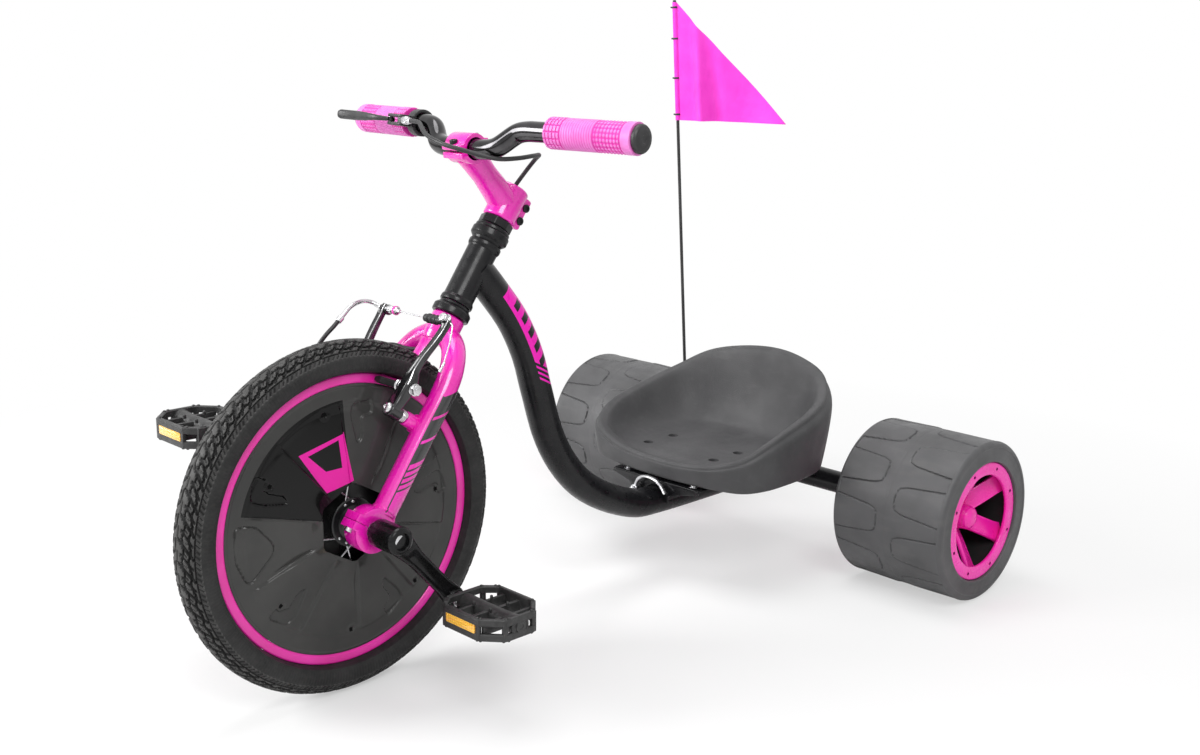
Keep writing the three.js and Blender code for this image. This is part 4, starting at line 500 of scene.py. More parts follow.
def printed_paint():
    """The black coat with a print behind the spine's middle line: a pink field crossed by plain
    black bars, then three slanted pink stripes and a pink line. The middle line is a cubic in z."""
    made = coat_finish("printed_paint")
    x, y, z = made.parts()
    upper = spine_line[spine_line[:, 2] > 240] * millimetre
    cubic = np.polyfit(upper[:, 2], upper[:, 0], 3)
    middle = 0
    for factor in cubic:
        middle = middle * z + float(factor)
    behind = middle - x
    slant, fall = z + x * 0.88, z - x * 0.5
    on_back = (behind > -0.0055) * (z > 0.2)
    field = on_back * (slant < 0.51) * (fall > 0.3)
    bars = (
        bars_on(made, slant, 0.366, 0.0262, 0.5) * within(behind, 0.0005, 0.015) * (slant < 0.497)
    )
    stripes = bars_on(made, fall, 0.282, 0.006, 0.42) * within(fall, 0.2815, 0.3) * on_back
    edge = on_back * within(fall, 0.262, 0.2845) * (behind > 0.0155)
    pink = made.math("MINIMUM", field * (1 - bars) + stripes + edge, 1)
    return made.cover(pink, pink_light)


striped_paint = printed_paint()


def bead(path, radius, sides=8):
    """A round bead along a closed line: a small ring carried round it, with ripples of solidified
    weld made by a sine of the distance."""
    path = np.asarray(path, float)
    along = unit(np.roll(path, -1, 0) - np.roll(path, 1, 0))
    out = path - path.mean(0)
    out = unit(out - along * (out * along).sum(1)[:, None])
    size = radius * (1 + 0.14 * np.sin(distances(path) * 2.4))[:, None, None]
    ring = circle(1, sides)[None] * size
    grid = (
        path[:, None] + ring[..., :1] * out[:, None] + ring[..., 1:] * np.cross(along, out)[:, None]
    )
    return skin(grid, round_rows=True)


def seam_of_tubes(radius, line_from, line_way, other_radius, other_at, other_way, count=120):
    """Where a round bar meets a wider round tube: each line of the bar's surface is solved as a
    quadratic for the distance at which it reaches the other tube."""
    way, other_way = unit(line_way), unit(other_way)
    side = square_to(way)
    start = line_from + circle(radius, count) @ np.array([side, np.cross(way, side)])
    gap = start - other_at
    flat_way = way - other_way * (way @ other_way)
    flat_gap = gap - np.outer(gap @ other_way, other_way)
    qa, qb = flat_way @ flat_way, flat_gap @ flat_way
    qc = (flat_gap**2).sum(1) - other_radius**2
    reach = (-qb - np.sqrt(np.maximum(qb**2 - qa * qc, 0))) / qa
    return start + np.outer(reach, way)


head_bottom, head_top = place([[0, 0, head_foot], [0, 0, head_foot + head_length]], steering)
head_flare = [(15.6, 0), (19.2, 0), (19.2, 5), (17.5, 8), (17.5, 70), (19.2, 73), (19.2, 78),
    (15.6, 78)]
beam_left, beam_right = rear_axle_at + [0, beam_half, 0], rear_axle_at - [0, beam_half, 0]
beam_ring = [(6.4, 0), (13.5, 0), (15, 1.5), (15, 354.5), (13.5, 356), (6.4, 356)]
flag_lean, pole_top_height, socket_inset = math.radians(4.1), 757, 18
pole_foot = rear_axle_at + [0, socket_inset - beam_half, 0]
pole_rise = pole_top_height - slick_radius
pole_top = pole_foot + [0, -pole_rise * math.tan(flag_lean), pole_rise]
pole_way = unit(pole_top - pole_foot)
socket_ring = [(2.7, 13), (6, 13), (6, 40), (6.8, 41), (6.8, 45), (2.7, 45)]
spine_way = spine_line[-1] - spine_line[-6]
head_way = head_top - head_bottom
seam = seam_of_tubes(17, spine_line[-1] - spine_way * 3, spine_way, 19.4, head_bottom, head_way)
put(
    "main_frame",
    [
        skin(carry(spine_line, circle(spine_radius, 40), side=[0, 1, 0]), 1),
        hoop(head_bottom, head_top, head_flare, edge=1.2),
        hoop(beam_right, beam_left, beam_ring, edge=0.8),
        hoop(pole_foot, pole_foot + pole_way, socket_ring, edge=0.6, sides=28),
        bead(seam, 1.7),
        bead(level(circle(8, 40), 13.4) + pole_foot, 1.2),
    ],
    "frame", [black_paint, striped_paint], ["frame"],
)

# ---- Headset: two steel cups pressed into the head tube, an adjusting race and an eight-sided
# locknut on the steerer, all painted black.
cup_foot, cup_height = 251.3, 15
lower_cup = [(14.9, 0), (21, 0), (22, 1), (22, 8), (20.4, 10), (18.2, 12), (17.5, 15), (14.9, 15)]
upper_cup = [(r, cup_height - z) for r, z in lower_cup]
cup_at = np.array([0, 0, cup_foot])
top_cup_at = cup_at + [0, 0, cup_height + head_length + 0.6]
axis = np.array([0, 0, 1])
for name, at, profile in [("lower", cup_at, lower_cup), ("upper", top_cup_at, upper_cup)]:
    put("cup_" + name, [hoop(at, at + axis, profile)], "frame", [black_paint],
        ["headset_cup_" + name], where=steering)

race_at, locknut_at = np.array([0, 0, 360.2]), np.array([0, 0, 365.5])
race_ring = [(14.7, 0), (20.5, 0), (20.5, 3.4), (19, 5), (14.7, 5)]
eight = fillet(circle(19.9, 8), 1.2)
nut_rows = [(0.78, 0), (0.95, 0), (1, 1), (1, 9.2), (0.94, 10.4), (0.76, 10.4)]
nut_ring = np.stack([level(eight * share, height) for share, height in nut_rows])
put("adjusting_race", [hoop(race_at, race_at + axis, race_ring)], "fork", [black_paint],
    ["headset_race"], where=steering)
put("top_locknut", [skin(nut_ring + locknut_at, round_rows=True)], "fork", [black_paint],
    ["headset_locknut"], where=steering)

# ---- Fork: one steel tube bent over the wheel, a steerer welded in its crown, brake bosses on its
# legs and split bearing housings at its feet. Glossy pink, with slanted black stripes on the legs.


def striped_pink():
    """The fork's pink with a print on the legs' outer faces: a row of black slanted blocks behind
    the front edge, three thin slanted lines under it, and a thin line that runs on downwards."""
    made = pink_finish("fork_paint", pink_dark, pink_light, (0.2, 0.32), 0.8)
    x, y, z = made.parts()
    x, z = x - steer_origin[0] * millimetre, z - steer_origin[2] * millimetre
    ahead = x * math.cos(head_tilt) + z * math.sin(head_tilt)
    up = z * math.cos(head_tilt) - x * math.sin(head_tilt)
    slant = up + ahead
    outside = (abs(y) > 0.05) * (ahead < 0.0075)
    blocks = bars_on(made, slant, 0.0845, 0.0285, 0.86) * within(slant, 0.0845, 0.1665)
    lines = bars_on(made, slant, 0.052, 0.0078, 0.34) * within(slant, 0.0515, 0.0785)
    edge = (abs(ahead - 0.0072) < 0.0006) * within(up, 0.022, 0.16) * (abs(y) > 0.05)
    print_mask = made.math("MINIMUM", outside * (blocks + lines) + edge, 1)
    return made.cover(print_mask, (0.008, 0.008, 0.009))


fork_paint = striped_pink()
leg_offset, leg_radius = 50, 13.5
leg_shares = np.array([[0.2, 0.02], [0.62, 0.07], [0.9, 0.17], [1, 0.28], [1, 0.5]])
leg_top = crown_height - leg_radius
leg = np.column_stack([np.zeros(5), leg_offset * leg_shares[:, 0],
    leg_top * (1 - leg_shares[:, 1])])
leg = np.vstack([leg, [0, leg_offset, 20.5]])
arch = smooth_line(np.vstack([leg[::-1], leg * flip]), 130)
housing_in, housing_out, housing_radius, ear_reach, ear_height = 39, 61, 24.5, 29, 9


def slab(outline, low, high, edge=0.6, finish=0, way="xzy"):
    """A flat outline with thickness: rings at the two faces drawn in by the rounded edge, and the
    full outline between. The letters say which axes take the outline and which the thickness."""
    p = np.asarray(outline, float)
    run = np.roll(p, -1, 0) - np.roll(p, 1, 0)
    inward = (
        np.column_stack([-run[:, 1], run[:, 0]]) / (np.linalg.norm(run, axis=1)[:, None] + 1e-9)
    )
    area = (p[:, 0] * np.roll(p[:, 1], -1) - np.roll(p[:, 0], -1) * p[:, 1]).sum()
    inward *= np.sign(area)
    steps = [(1, 0), (0.3, 0.3), (0, 1)]
    rings = [(p + inward * edge * a, low + edge * b) for a, b in steps]
    rings += [(p + inward * edge * a, high - edge * b) for a, b in steps[::-1]]
    grid = np.zeros((len(rings), len(p), 3))
    for row, (flat, height) in enumerate(rings):
        grid[row, :, "xyz".index(way[0])] = flat[:, 0]
        grid[row, :, "xyz".index(way[1])] = flat[:, 1]
        grid[row, :, "xyz".index(way[2])] = height
    return skin(grid, finish)


def oblong(left, right, low, high, radius, steps=4):
    """A rectangle's outline between two limits each way, with rounded corners."""
    return fillet([[left, low], [right, low], [right, high], [left, high]], radius, steps=steps)


def arc(radius, start, stop, count=24, centre=(0, 0)):
    """Points round part of a circle, between two angles in degrees."""
    a = np.radians(np.linspace(start, stop, count))
    return np.column_stack([np.cos(a), np.sin(a)]) * radius + centre


def housing_half(sign, side):
    """Half of a bearing housing: ears and an arch outside, the bearing's arch inside, and a thin
    lip that covers the bearing's outer face."""
    join_angle = math.degrees(math.asin(ear_height / housing_radius))
    outer = np.vstack([[ear_reach, 0.2], [ear_reach, ear_height],
        arc(housing_radius, join_angle, 180 - join_angle), [-ear_reach, ear_height],
        [-ear_reach, 0.2]])
    shells = []
    for inner_radius, low, high in [
        (17.8, housing_in, housing_out - 3), (10.5, housing_out - 3.4, housing_out),
    ]:
        shape = np.vstack([outer, arc(inner_radius, 179.4, 0.6)])
        shape = fillet(shape, 1, steps=2) * [1, sign] + [fork_rake, 0]
        low, high = (low, high) if side > 0 else (-high, -low)
        shells.append(slab(shape, low, high, 0.7))
    return shells


boss_height, boss_offset, arm_front = 121, 42, 52
dome = [(6.2, 0), (6.2, 0.35), (5.2, 0.75), (3.4, 0.98), (2.2, 1), (2, 0.7)]
neck = [(11, -28), (17.4, -28), (18.6, -20), (19, -6), (19, 3), (17.2, 5), (11, 5)]
steerer_tube = [
    (11, -2), (14.3, -2), (14.3, steerer_length - 0.8), (13.6, steerer_length),
    (11, steerer_length)]
crown_at = np.array([0, 0, crown_height])
gusset = fillet([[-9, 222], [9, 222], [11.5, 196], [0, 188], [-11.5, 196]], 3)
fork_shells = [
    skin(carry(arch, circle(leg_radius, 36), side=[1, 0, 0])),
    hoop(crown_at, crown_at + axis, neck, edge=1),
    hoop(crown_at, crown_at + axis, steerer_tube, edge=0.3), slab(gusset, 9.5, 14.5, 1, way="yzx"),
]
for side in (1, -1):
    y = boss_offset * side
    fork_shells += housing_half(1, side)
    boss = np.array([0, y, boss_height])
    boss_seam = boss + np.column_stack([np.full(40, 11.2), circle(9.4, 40)])
    fork_shells += [
        spindle(boss, boss + [27, 0, 0], (9.6, 0), (8.4, 0.5), (8, 1), edge=1.5),
        rod(boss + [26, 0, 0], boss + [52.2, 0, 0], 4, finish=1),
        spindle(boss + [52.3, 0, 0], boss + [56.3, 0, 0], *dome, edge=0.4, finish=1),
        bead(boss_seam, 1.3),
    ]
    foot_seam = level(circle(leg_radius - 0.3, 60), 0) + [0, leg_offset * side, 0]
    foot_seam[:, 2] = (
        np.sqrt(np.maximum(housing_radius**2 - (foot_seam[:, 0] - fork_rake) ** 2, 0)) + 0.6
    )
    fork_shells.append(bead(foot_seam, 1.5))
put("fork_body", fork_shells, "fork", [fork_paint, bright_steel], ["fork"],
    where=steering)

left_and_right = [("left", 1), ("right", -1)]
for name, side in left_and_right:
    shells = housing_half(-1, side)
    for reach in (ear_reach - 4.5, -ear_reach + 4.5):
        head = np.array([fork_rake + reach, 50 * side, -ear_height])
        shells.append(spindle(head + [0, 0, 1], head - [0, 0, 4], (4.5, 0), (4.5, 0.82), (3.8, 1),
            (2, 1), (2, 0.5), edge=0.4, sides=24, finish=1))
    put("housing_cap_" + name, shells, "fork", [pink_paint, bright_steel],
        ["bearing_cap_" + name], where=steering)

# ---- Stem: a forged arm with a slotted clamp on the steerer and a split clamp on the bar, painted
# pink, with two black pinch bolts behind and two bolts in its face plate.
black_steel = Finish("black_steel", metallic=0.7, specular_ior_level=0.5).surface(
    (0.012, 0.012, 0.013), (0.03, 0.03, 0.031), (0.28, 0.42), [(0.008, 0.6)], 12)
stem_foot, clamp_half = 376.2, 21
clamp_middle = np.array([0, 0, stem_foot + clamp_half])
bar_centre = np.array([stem_reach, 0, bar_height])
clamp_where = (place(bar_centre, steering), swung(math.radians(45)) @ steer_axes)


def clamp_half_shape(sign):
    """Half of the bar clamp seen from its end: a half ring with an ear above and below."""
    cut, ear, thick = 1.25, 20, 8
    outer = np.vstack([[cut, ear], [thick, ear], arc(17, 58, -58, 20), [thick, -ear], [cut, -ear]])
    inner = arc(11.5, -84, 84, 24)
    return fillet(np.vstack([outer, inner]) * [sign, 1], 1.2, steps=3)


def bolt_head(foot, tip, radius, finish=1):
    """A cap-head bolt: a round head with a rounded edge and a socket sunk in its middle."""
    return spindle(foot, tip, (radius, 0), (radius, 0.8), (radius * 0.86, 1), (radius * 0.5, 1),
        (radius * 0.5, 0.45), edge=0.35, sides=24, finish=finish)


arm_way = bar_centre - clamp_middle
arm_share = np.linspace(0.05, 0.93, 24)
arm_line = clamp_middle + np.outer(arm_share, arm_way)
waist = np.interp(arm_share, [0, 0.25, 0.55, 0.8, 1], [18.6, 16.6, 15.3, 16.2, 18])
squash = np.interp(arm_share, [0, 0.5, 1], [1, 0.92, 0.98])
arm_section = circle(1, 40) * np.column_stack([waist, waist * squash])[:, None]
collar = [(14.6, -21), (17.4, -21), (19, -19), (19, 19), (17.4, 21), (14.6, 21)]
ear_shape = fillet([[-27.5, -19], [-12, -19], [-12, 19], [-27.5, 19], [-25.6, 6], [-25.6, -6]], 5)
stem_shells = [
    skin(carry(arm_line, arm_section, side=[0, 1, 0])),
    hoop(clamp_middle, clamp_middle + axis, collar, edge=1.4),
]
for low, high in [(-8.5, -1.3), (1.3, 8.5)]:
    stem_shells.append(slab(ear_shape + [0, clamp_middle[2]], low, high, 1.2))
for rise in (8.4, -8.4):
    at = np.array([-22.5, 0, clamp_middle[2] + rise])
    stem_shells += [bolt_head(at + [0, 8, 0], at + [0, 10.5, 0], 4.8),
        rod(at - [0, 10.2, 0], at + [0, 8, 0], 3, finish=1),
        bolt_head(at - [0, 8, 0], at - [0, 10.4, 0], 4.4)]
put("stem_body", stem_shells, "fork", [pink_paint, black_steel], where=steering)
half_shape = clamp_half_shape(-1)
put("stem_clamp", [slab(half_shape, -17, 17, 1.2)], "fork", [pink_paint], ["stem"],
    where=clamp_where)
plate_shells = [slab(clamp_half_shape(1), -17, 17, 1.2)]
for sign in (1, -1):
    plate_shells.append(bolt_head([7.6, 0, 15.5 * sign], [12.8, 0, 15.5 * sign], 4.5))
    plate_shells.append(rod([1, 0, 15.5 * sign], [8, 0, 15.5 * sign], 2.5, finish=1))
put("face_plate", plate_shells, "fork", [pink_paint, black_steel],
    ["stem_face_plate"], where=clamp_where)

# ---- Handlebar: a low-rise steel tube, dark smoked chrome, with a straight middle under
# the stem's clamp and straight swept ends that the grips slide on.
# The chrome is dark: nearly black metal, a mirror polish, faint waves and light drawing lines.
bar_chrome = Finish("bar_chrome", metallic=1, specular_ior_level=0.5).surface(
    (0.045, 0.044, 0.046), (0.085, 0.083, 0.086), (0.07, 0.16), [(0.003, 0.4, 2, (1, 0.1, 1))], 25)
bar_half = np.vstack([
    [[stem_reach, 16, bar_height], [stem_reach, 32, bar_height],
        [stem_reach, 49.4, bar_height + 3.8], [stem_reach, 72.6, bar_height + 23.2], bar_knee],
    bar_knee + bar_way * 2, bar_knee + bar_way * 30,
    bar_end,
])
bar_line = smooth_line(np.vstack([(bar_half * flip)[::-1], bar_half]), 260)
bar_radius = 11.1
put("bar", [skin(carry(bar_line, circle(bar_radius, 36), side=[1, 0, 0]))], "fork", [bar_chrome],
    ["handlebar"], where=steering)

# ---- Grips: soft pink rubber moulded over the bar's ends, with rows of square blocks inboard, a
# smooth window, dotted rows and a plain outer band. Black plastic plugs close the bar's ends.


def marked(made):
    """The number that mark stores at each point of a piece, as a value for its finish."""
    return made.node("Attribute", {"attribute_name": "relief"}, out="Fac")


def mark(piece, values):
    """Stores a number at each point of a piece, for its finish to read; the rest stay at zero."""
    layer = piece.data.attributes.new("relief", "FLOAT", "POINT")
    stored = np.zeros(len(piece.data.vertices))
    stored[: values.size] = values.ravel()
    layer.data.foreach_set("value", stored)


# The rubber is matt, with a fine mould texture, and slightly darker in the grooves between the
# raised blocks, ribs and dots: painted shade.
grip_rubber = Finish("grip_rubber", specular_ior_level=0.35, sheen_weight=0.15).surface(
    (0.72, 0.15, 0.52), (0.8, 0.22, 0.62), (0.4, 0.58), [(0.02, 0.35)], 22)
grip_rubber.cover(grip_rubber.span(marked(grip_rubber), 0.8, 0.1), (0.66, 0.015, 0.34))
black_plastic = Finish("black_plastic", specular_ior_level=0.45).surface(
    (0.014, 0.014, 0.015), (0.026, 0.026, 0.027), (0.36, 0.52), [(0.02, 0.7), (0.01, 0.25)], 20)
grip_length = 114
grip_along = np.linspace(0, grip_length, 300)
grip_round = turns(168)
along, around = np.meshgrid(grip_along, grip_round, indexing="ij")


def bump_row(value, pitch, share, soft=0.12):
    """1 on the raised part of each pitch and 0 in the groove, with sloped sides."""
    phase = np.abs((value / pitch) % 1 - 0.5) * 2
    return np.clip((share - phase) / soft + 0.5, 0, 1)


def between(value, low, high, soft=0.6):
    """1 between two values, falling to 0 outside them over a short slope."""
    return np.clip((value - low) / soft + 0.5, 0, 1) * np.clip((high - value) / soft + 0.5, 0, 1)


blocks = bump_row(along, 4.6, 0.74) * bump_row(around, 2 * np.pi / 14, 0.8)
from_dot = np.hypot((along / 4.4) % 1 - 0.5, (around * 20 / (2 * np.pi)) % 1 - 0.5)
dots = np.clip(1.35 - 2.6 * from_dot, 0, 1)
ribs = bump_row(along, 3.3, 0.62)
relief = (
    between(along, 1, 22) * 1.1 * blocks
    + between(along, 24, 66) * (0.45 + 0.45 * ribs)
    + between(along, 68, 100) * dots
    + between(along, 102, 113.6) * 1.15
)
lengthways = 0.12 * np.cos(around * 3)
grip_radius = 15.9 + relief + lengthways * between(along, 24, 99)
grip_radius[0] = grip_radius[-1] = 11.2
grip_radius[1] = grip_radius[-2] = 15.2
grip_grid = np.stack([grip_radius * np.cos(around), along, grip_radius * np.sin(around)], -1)
grip_foot = bar_end - bar_way * grip_length
plug_profile = [(9, -18), (9, 0.3), (15.2, 0.3), (15.2, 4), (13.6, 6.2), (9, 7.2), (4.6, 7.2),
    (4, 6.6)]
for name, side in left_and_right:
    mirror = [1, side, 1]
    grid = aim(grip_grid, grip_foot, bar_end) * mirror
    cover = put("grip_cover_" + name, [skin(grid)], "fork", [grip_rubber],
        ["grip_" + name], where=steering, crease=50)
    mark(cover, relief)
    turned = (
        aim(lathe(fillet([(0, -18)] + plug_profile + [(0, 6.6)], 0.8, closed=False), 40), bar_end,
            bar_end + bar_way) * mirror
    )
    put("end_plug_" + name, [skin(turned, caps=False)], "fork", [black_plastic],
        ["grip_plug_" + name], where=steering)

# ---- Brake lever, on the rider's right: a black cast bracket clamped round the bar, a curved
# two-finger blade on a steel pin, and a knurled steel barrel that takes the cable.
bracket_half = 6.5
pivot = np.array([33, -12, 0])
clamp_ring = [(11.6, -bracket_half), (15.5, -bracket_half), (15.5, bracket_half),
    (11.6, bracket_half)]
body_shape = fillet(
    [[9, -6.5], [31, -17], [38, -12], [35.5, 11], [34, 14], [27, 14], [12, 6.5], [9, 6]],
    [1, 3, 4, 4, 2, 3, 4, 1])


def hoop_on_y(profile, side=1, **look):
    """A closed profile turned round the local Y axis, with its distances counted to one side."""
    return hoop([0, 0, 0], [0, side, 0], profile, **look)


core = fillet([[9, -3], [19, -6], [20, 13], [12, 6.5], [9, 6]], 2)
bridge = fillet([[26, 7.5], [35.6, 7.5], [34, 14], [27, 14]], 1.5)
cheeks = [(body_shape, -bracket_half, -2.8), (body_shape, 2.8, bracket_half), (core, -6, 6),
    (bridge, -6.4, 6.4)]
bracket_shells = [hoop_on_y(clamp_ring, edge=1.2)]
bracket_shells += [slab(outline, low, high, 0.9, way="xyz") for outline, low, high in cheeks]
bracket_shells += [
    bolt_head([33, -12, 5.6], [33, -12, bracket_half], 3.4),
    rod([33, -12, -bracket_half], [33, -12, 6.3], 2.5, finish=1),
    rod([-13.5, 0, -5.5], [-13.5, 0, 5.5], 2.6, finish=1),
    slab(oblong(-15.4, -9, -4.6, 4.6, 1.5), -5.4, 5.4, 0.8, way="xyz"),
]
put("lever_clamp", bracket_shells, "fork", [black_plastic, bright_steel],
    ["lever_bracket"], where=lever)


def squarer(wave, power):
    """A wave raised to a power under one with its sign kept, which makes a circle squarer."""
    return np.sign(wave) * np.abs(wave) ** power


reach_shares = np.array([[0.2, -0.02], [0.5, 0.04], [0.86, 0.14], [1, 0.34], [0.92, 0.6],
    [1.02, 0.84], [1.2, 0.96], [1.25, 1]])
blade_line = (
    pivot + np.column_stack([15 * reach_shares[:, 0], -92 * reach_shares[:, 1], np.zeros(8)])
)
blade_path = smooth_line(blade_line, 70)
blade_run = np.linspace(0, 1, 70)
blade_wide = np.interp(blade_run, [0, 0.15, 0.5, 0.85, 0.97, 1], [4.2, 4, 3.8, 3.9, 4.4, 2.2])
blade_high = np.interp(blade_run, [0, 0.15, 0.4, 0.6, 0.95, 1], [2.3, 3.2, 5, 5.5, 5.5, 3])
ring = squarer(circle(1, 28), 0.7)
blade_section = ring[None] * np.stack([blade_high, blade_wide], -1)[:, None]
blade_shells = [
    skin(carry(blade_path, blade_section, side=[0, 0, 1])),
    spindle(pivot - [0, 0, 2.4], pivot + [0, 0, 2.4], (5, 0), (5, 1), edge=0.5),
]
put("lever_blade", blade_shells, "brake_lever", [black_plastic], ["brake_lever"],
    where=lever, crease=50)

barrel_along = np.array([14.4, 14.4, 15.2, 16, 23.4, 24.2, 24.6, 25, 30.6, 31.3, 31.3])
barrel_size = np.array([0, 3.6, 4.5, 4.6, 4.6, 4, 3.6, 3.3, 3.3, 3, 0])
barrel_round = turns(72)
knurl = 1 - 0.1 * bump_row(barrel_round, 2 * np.pi / 18, 0.45) * (barrel_size[:, None] > 4.4)
barrel = np.stack([
    31 + barrel_size[:, None] * knurl * np.cos(barrel_round),
    np.repeat(barrel_along[:, None], 72, 1),
    barrel_size[:, None] * knurl * np.sin(barrel_round),
], -1)
put("cable_barrel", [skin(barrel, caps=False)], "fork", [bright_steel],
    ["barrel_adjuster"], where=lever, crease=30)

# ---- Front tyre: a 16 inch street tyre moulded in black rubber, with a herringbone of slanted
# blocks, a sawn shoulder rib and a ribbed sidewall. Its beads seat inside the rim.
wheel = (front_axle, np.eye(3))


def tyre_finish():
    """Vulcanised rubber: matt, a little dust, fine radial ribs on the sidewalls, painted shade in
    the tread's grooves and a painted highlight along the block edges and on the tread face.
    """
    made = Finish("tyre_rubber", specular_ior_level=0.25)
    x, y, z = made.parts(made.turned(shift=tuple(-front_axle * millimetre)))
    radius = made.math("SQRT", x * x + z * z)
    ribs = made.math("SINE", made.math("ARCTAN2", z, x) * 300)
    rings = made.math("SINE", radius * 4200)
    wall, near_bead = within(radius, 0.166, 0.178), within(radius, 0.161, 0.1665)
    bumps = [(0.03, 0.6), (0.07, ribs * wall), (0.05, rings * near_bead)]
    made.surface((0.012, 0.012, 0.012), (0.022, 0.022, 0.022), (0.45, 0.62), bumps, 30)
    made.dust(0.3, (0.05, 0.049, 0.047), 5, 5, (1, 1, 1), 0.45, 0.8)
    # Painted shade: the grooves, where the stored value is minus the depth, are darkened.
    made.cover(made.span(marked(made), -0.1, -1.2), (0.004, 0.004, 0.004))
    # Painted highlight: the block edges and the tread face, where the stored value is above zero,
    # are paler.
    return made.cover(made.span(marked(made), 0.2, 1) * 0.5, (0.12, 0.118, 0.115))


tyre_rubber = tyre_finish()
tyre_middle, tyre_radial, tyre_axial = 173.3, 21.7, 23.5
tread_rows, tread_columns = 84, 1050
tread_a = np.radians(np.linspace(-118, 118, tread_rows))
tread_a = tread_a * (0.72 + 0.28 * np.abs(tread_a) / tread_a[-1])
a, turn = np.meshgrid(tread_a, turns(tread_columns), indexing="ij")
across, around = np.abs(a) * 22.6, turn * front_radius
pitch = 2 * np.pi * front_radius / 50


def step(value, soft):
    """0 below zero and 1 above it, over a smooth slope of that length."""
    t = np.clip(value / soft + 0.5, 0, 1)
    return t * t * (3 - 2 * t)


def groove(distance, width, soft=0.9):
    """1 in a groove of that width and 0 outside it, from the distance to its middle."""
    return np.clip((width / 2 - np.abs(distance)) / soft + 0.5, 0, 1)


def off_line(value, step):
    """The signed distance to the nearest of lines that stand a step apart."""
    return ((value / step + 0.5) % 1 - 0.5) * step


sweep = np.where(a > 0, 0, pitch / 2) + around + 0.55 * across + 0.022 * across**2
zigzag = np.abs(off_line(around, pitch)) * 0.22
main_cut = groove(off_line(sweep, pitch) * 0.72, 3) * between(across, 1.5, 22, 1.5)
second_cut = groove(off_line(sweep + pitch / 2, pitch) * 0.72, 2.5) * between(across, 5, 20, 1.5)
ring_cut = groove(across - 7.5 - zigzag, 2.3) + groove(across - 15.5 - zigzag, 2.2)
fine_cut = groove(off_line(sweep - pitch / 4, pitch / 2), 1.4) * between(across, 8.5, 14.5, 1)
centre_cut = groove(a * 22.6 - 1.3 * np.sign(off_line(around, pitch)), 1.4) * (across < 3)
shoulder_cut = groove(off_line(around + across, pitch / 4), 2) * between(across, 22.8, 28, 0.8)
edge_cut = groove(across - 22, 1.2)
depth = 2.4 * np.clip(main_cut + second_cut + ring_cut + centre_cut, 0, 1)
depth = np.maximum(depth, 1.3 * np.clip(fine_cut + edge_cut, 0, 1))
depth = np.maximum(depth, 1.2 * shoulder_cut)
wall_rib = (
    0.5 * groove(across - 31, 1.4) + 0.4 * groove(across - 36, 0.9)
    + 0.6 * groove(across - 41.5, 1.6)
)
lift = wall_rib - depth
tyre_r = tyre_middle + (tyre_radial + lift) * np.cos(a)
tyre_y = (tyre_axial + np.minimum(lift, 0) + 0.3 * wall_rib) * np.sin(a)
outer = np.stack([tyre_r * np.cos(turn), tyre_y, tyre_r * np.sin(turn)], -1)
hidden = [(160.3, 12.7), (160.3, 5), (178, 17.5), (190, 0), (178, -17.5), (160.3, -5),
    (160.3, -12.7)]
tyre_grid = np.vstack([outer, lathe(hidden, tread_columns)])
tyre = put("tyre", [skin(tyre_grid, round_rows=True)], "front_wheel", [tyre_rubber],
    ["front_tyre"], where=wheel, crease=40)
# Painted highlight on the block edges beside a groove, and a fainter one on the tread face; painted
# shade inside the groove: 1 on the edges, and minus the depth inside the groove.
painted_edge_highlight = step(1.2 - depth, 1.6) * step(depth - 0.02, 0.3) * (across < 28)
mark(tyre, np.where(depth > 0.9, -depth, painted_edge_highlight + 0.35 * (across < 22)))

# ---- Front rim: a rolled alloy box rim, powder-coated hot pink, with rounded brake walls and a
# shallow well for the tyre.
rim_paint = pink_finish("rim_paint", (0.72, 0.01, 0.32), (0.82, 0.02, 0.4), (0.3, 0.44), 0.35)
rim_side = [(149.4, -11.8), (151, -13), (158.6, -13), (160, -12.2), (160, -11), (158.4, -10.6),
    (153.4, -10.2)]
rim_profile = rim_side + [(r, -y) for r, y in rim_side[::-1]]
put("rim_hoop", [hoop_on_y(rim_profile, edge=0.6, sides=220)], "front_wheel", [rim_paint],
    ["front_rim"], where=wheel)

# ---- Wheel covers: vacuum-formed satin black plastic, clipped inside the rim on each side. Ten
# flat fields fan out from a six-sided opening, with hooked pockets, screw holes and a hatch.


def inside_corners(x, z, corners):
    """1 inside a convex outline, else 0: the point has to lie left of every edge, so the cross
    products of edge and offset are all above zero."""
    corners = np.array(corners) * millimetre
    inside = 1
    for (ax, az), (bx, bz) in zip(corners, np.roll(corners, -1, 0)):
        inside = ((z - az) * (bx - ax) > (x - ax) * (bz - az)) * inside
    return inside


def cover_finish():
    """Vacuum-formed ABS: satin, with light polishing haze. A gloss black field with a pink frame is
    laid on two of the flat fields, plain and with no words: the pink frame is a print, and the
    black field is a painted reflection of the dark that the cover's upper part reflects."""
    made = Finish("cover_plastic", specular_ior_level=0.16, coat_weight=0.12, coat_roughness=0.03)
    made.surface((0.04, 0.04, 0.039), (0.052, 0.052, 0.05), (0.08, 0.18), [(0.003, 3, 3)], 60)
    x, y, z = made.parts(made.turned(shift=tuple(-front_axle * millimetre)))
    painted_reflection_field = (
        inside_corners(x, z, [(0, 0), (170, 43.5), (150, 150), (4, 150)])
        * (x * x + z * z < 0.1335**2)
    )
    frame_edge = inside_corners(x, z, [(61, 83.9), (5, 99.6), (-1.9, 46.1), (32, 38.9)])
    frame_hole = inside_corners(x, z, [(50.5, 81.5), (14, 93), (12, 63.1), (31, 62)])
    # Painted reflection: the black field darkens the part of the cover that reflects dark.
    made.cover(painted_reflection_field, (0.003, 0.003, 0.003))
    return made.cover(frame_edge * (1 - frame_hole), (0.74, 0.012, 0.34))


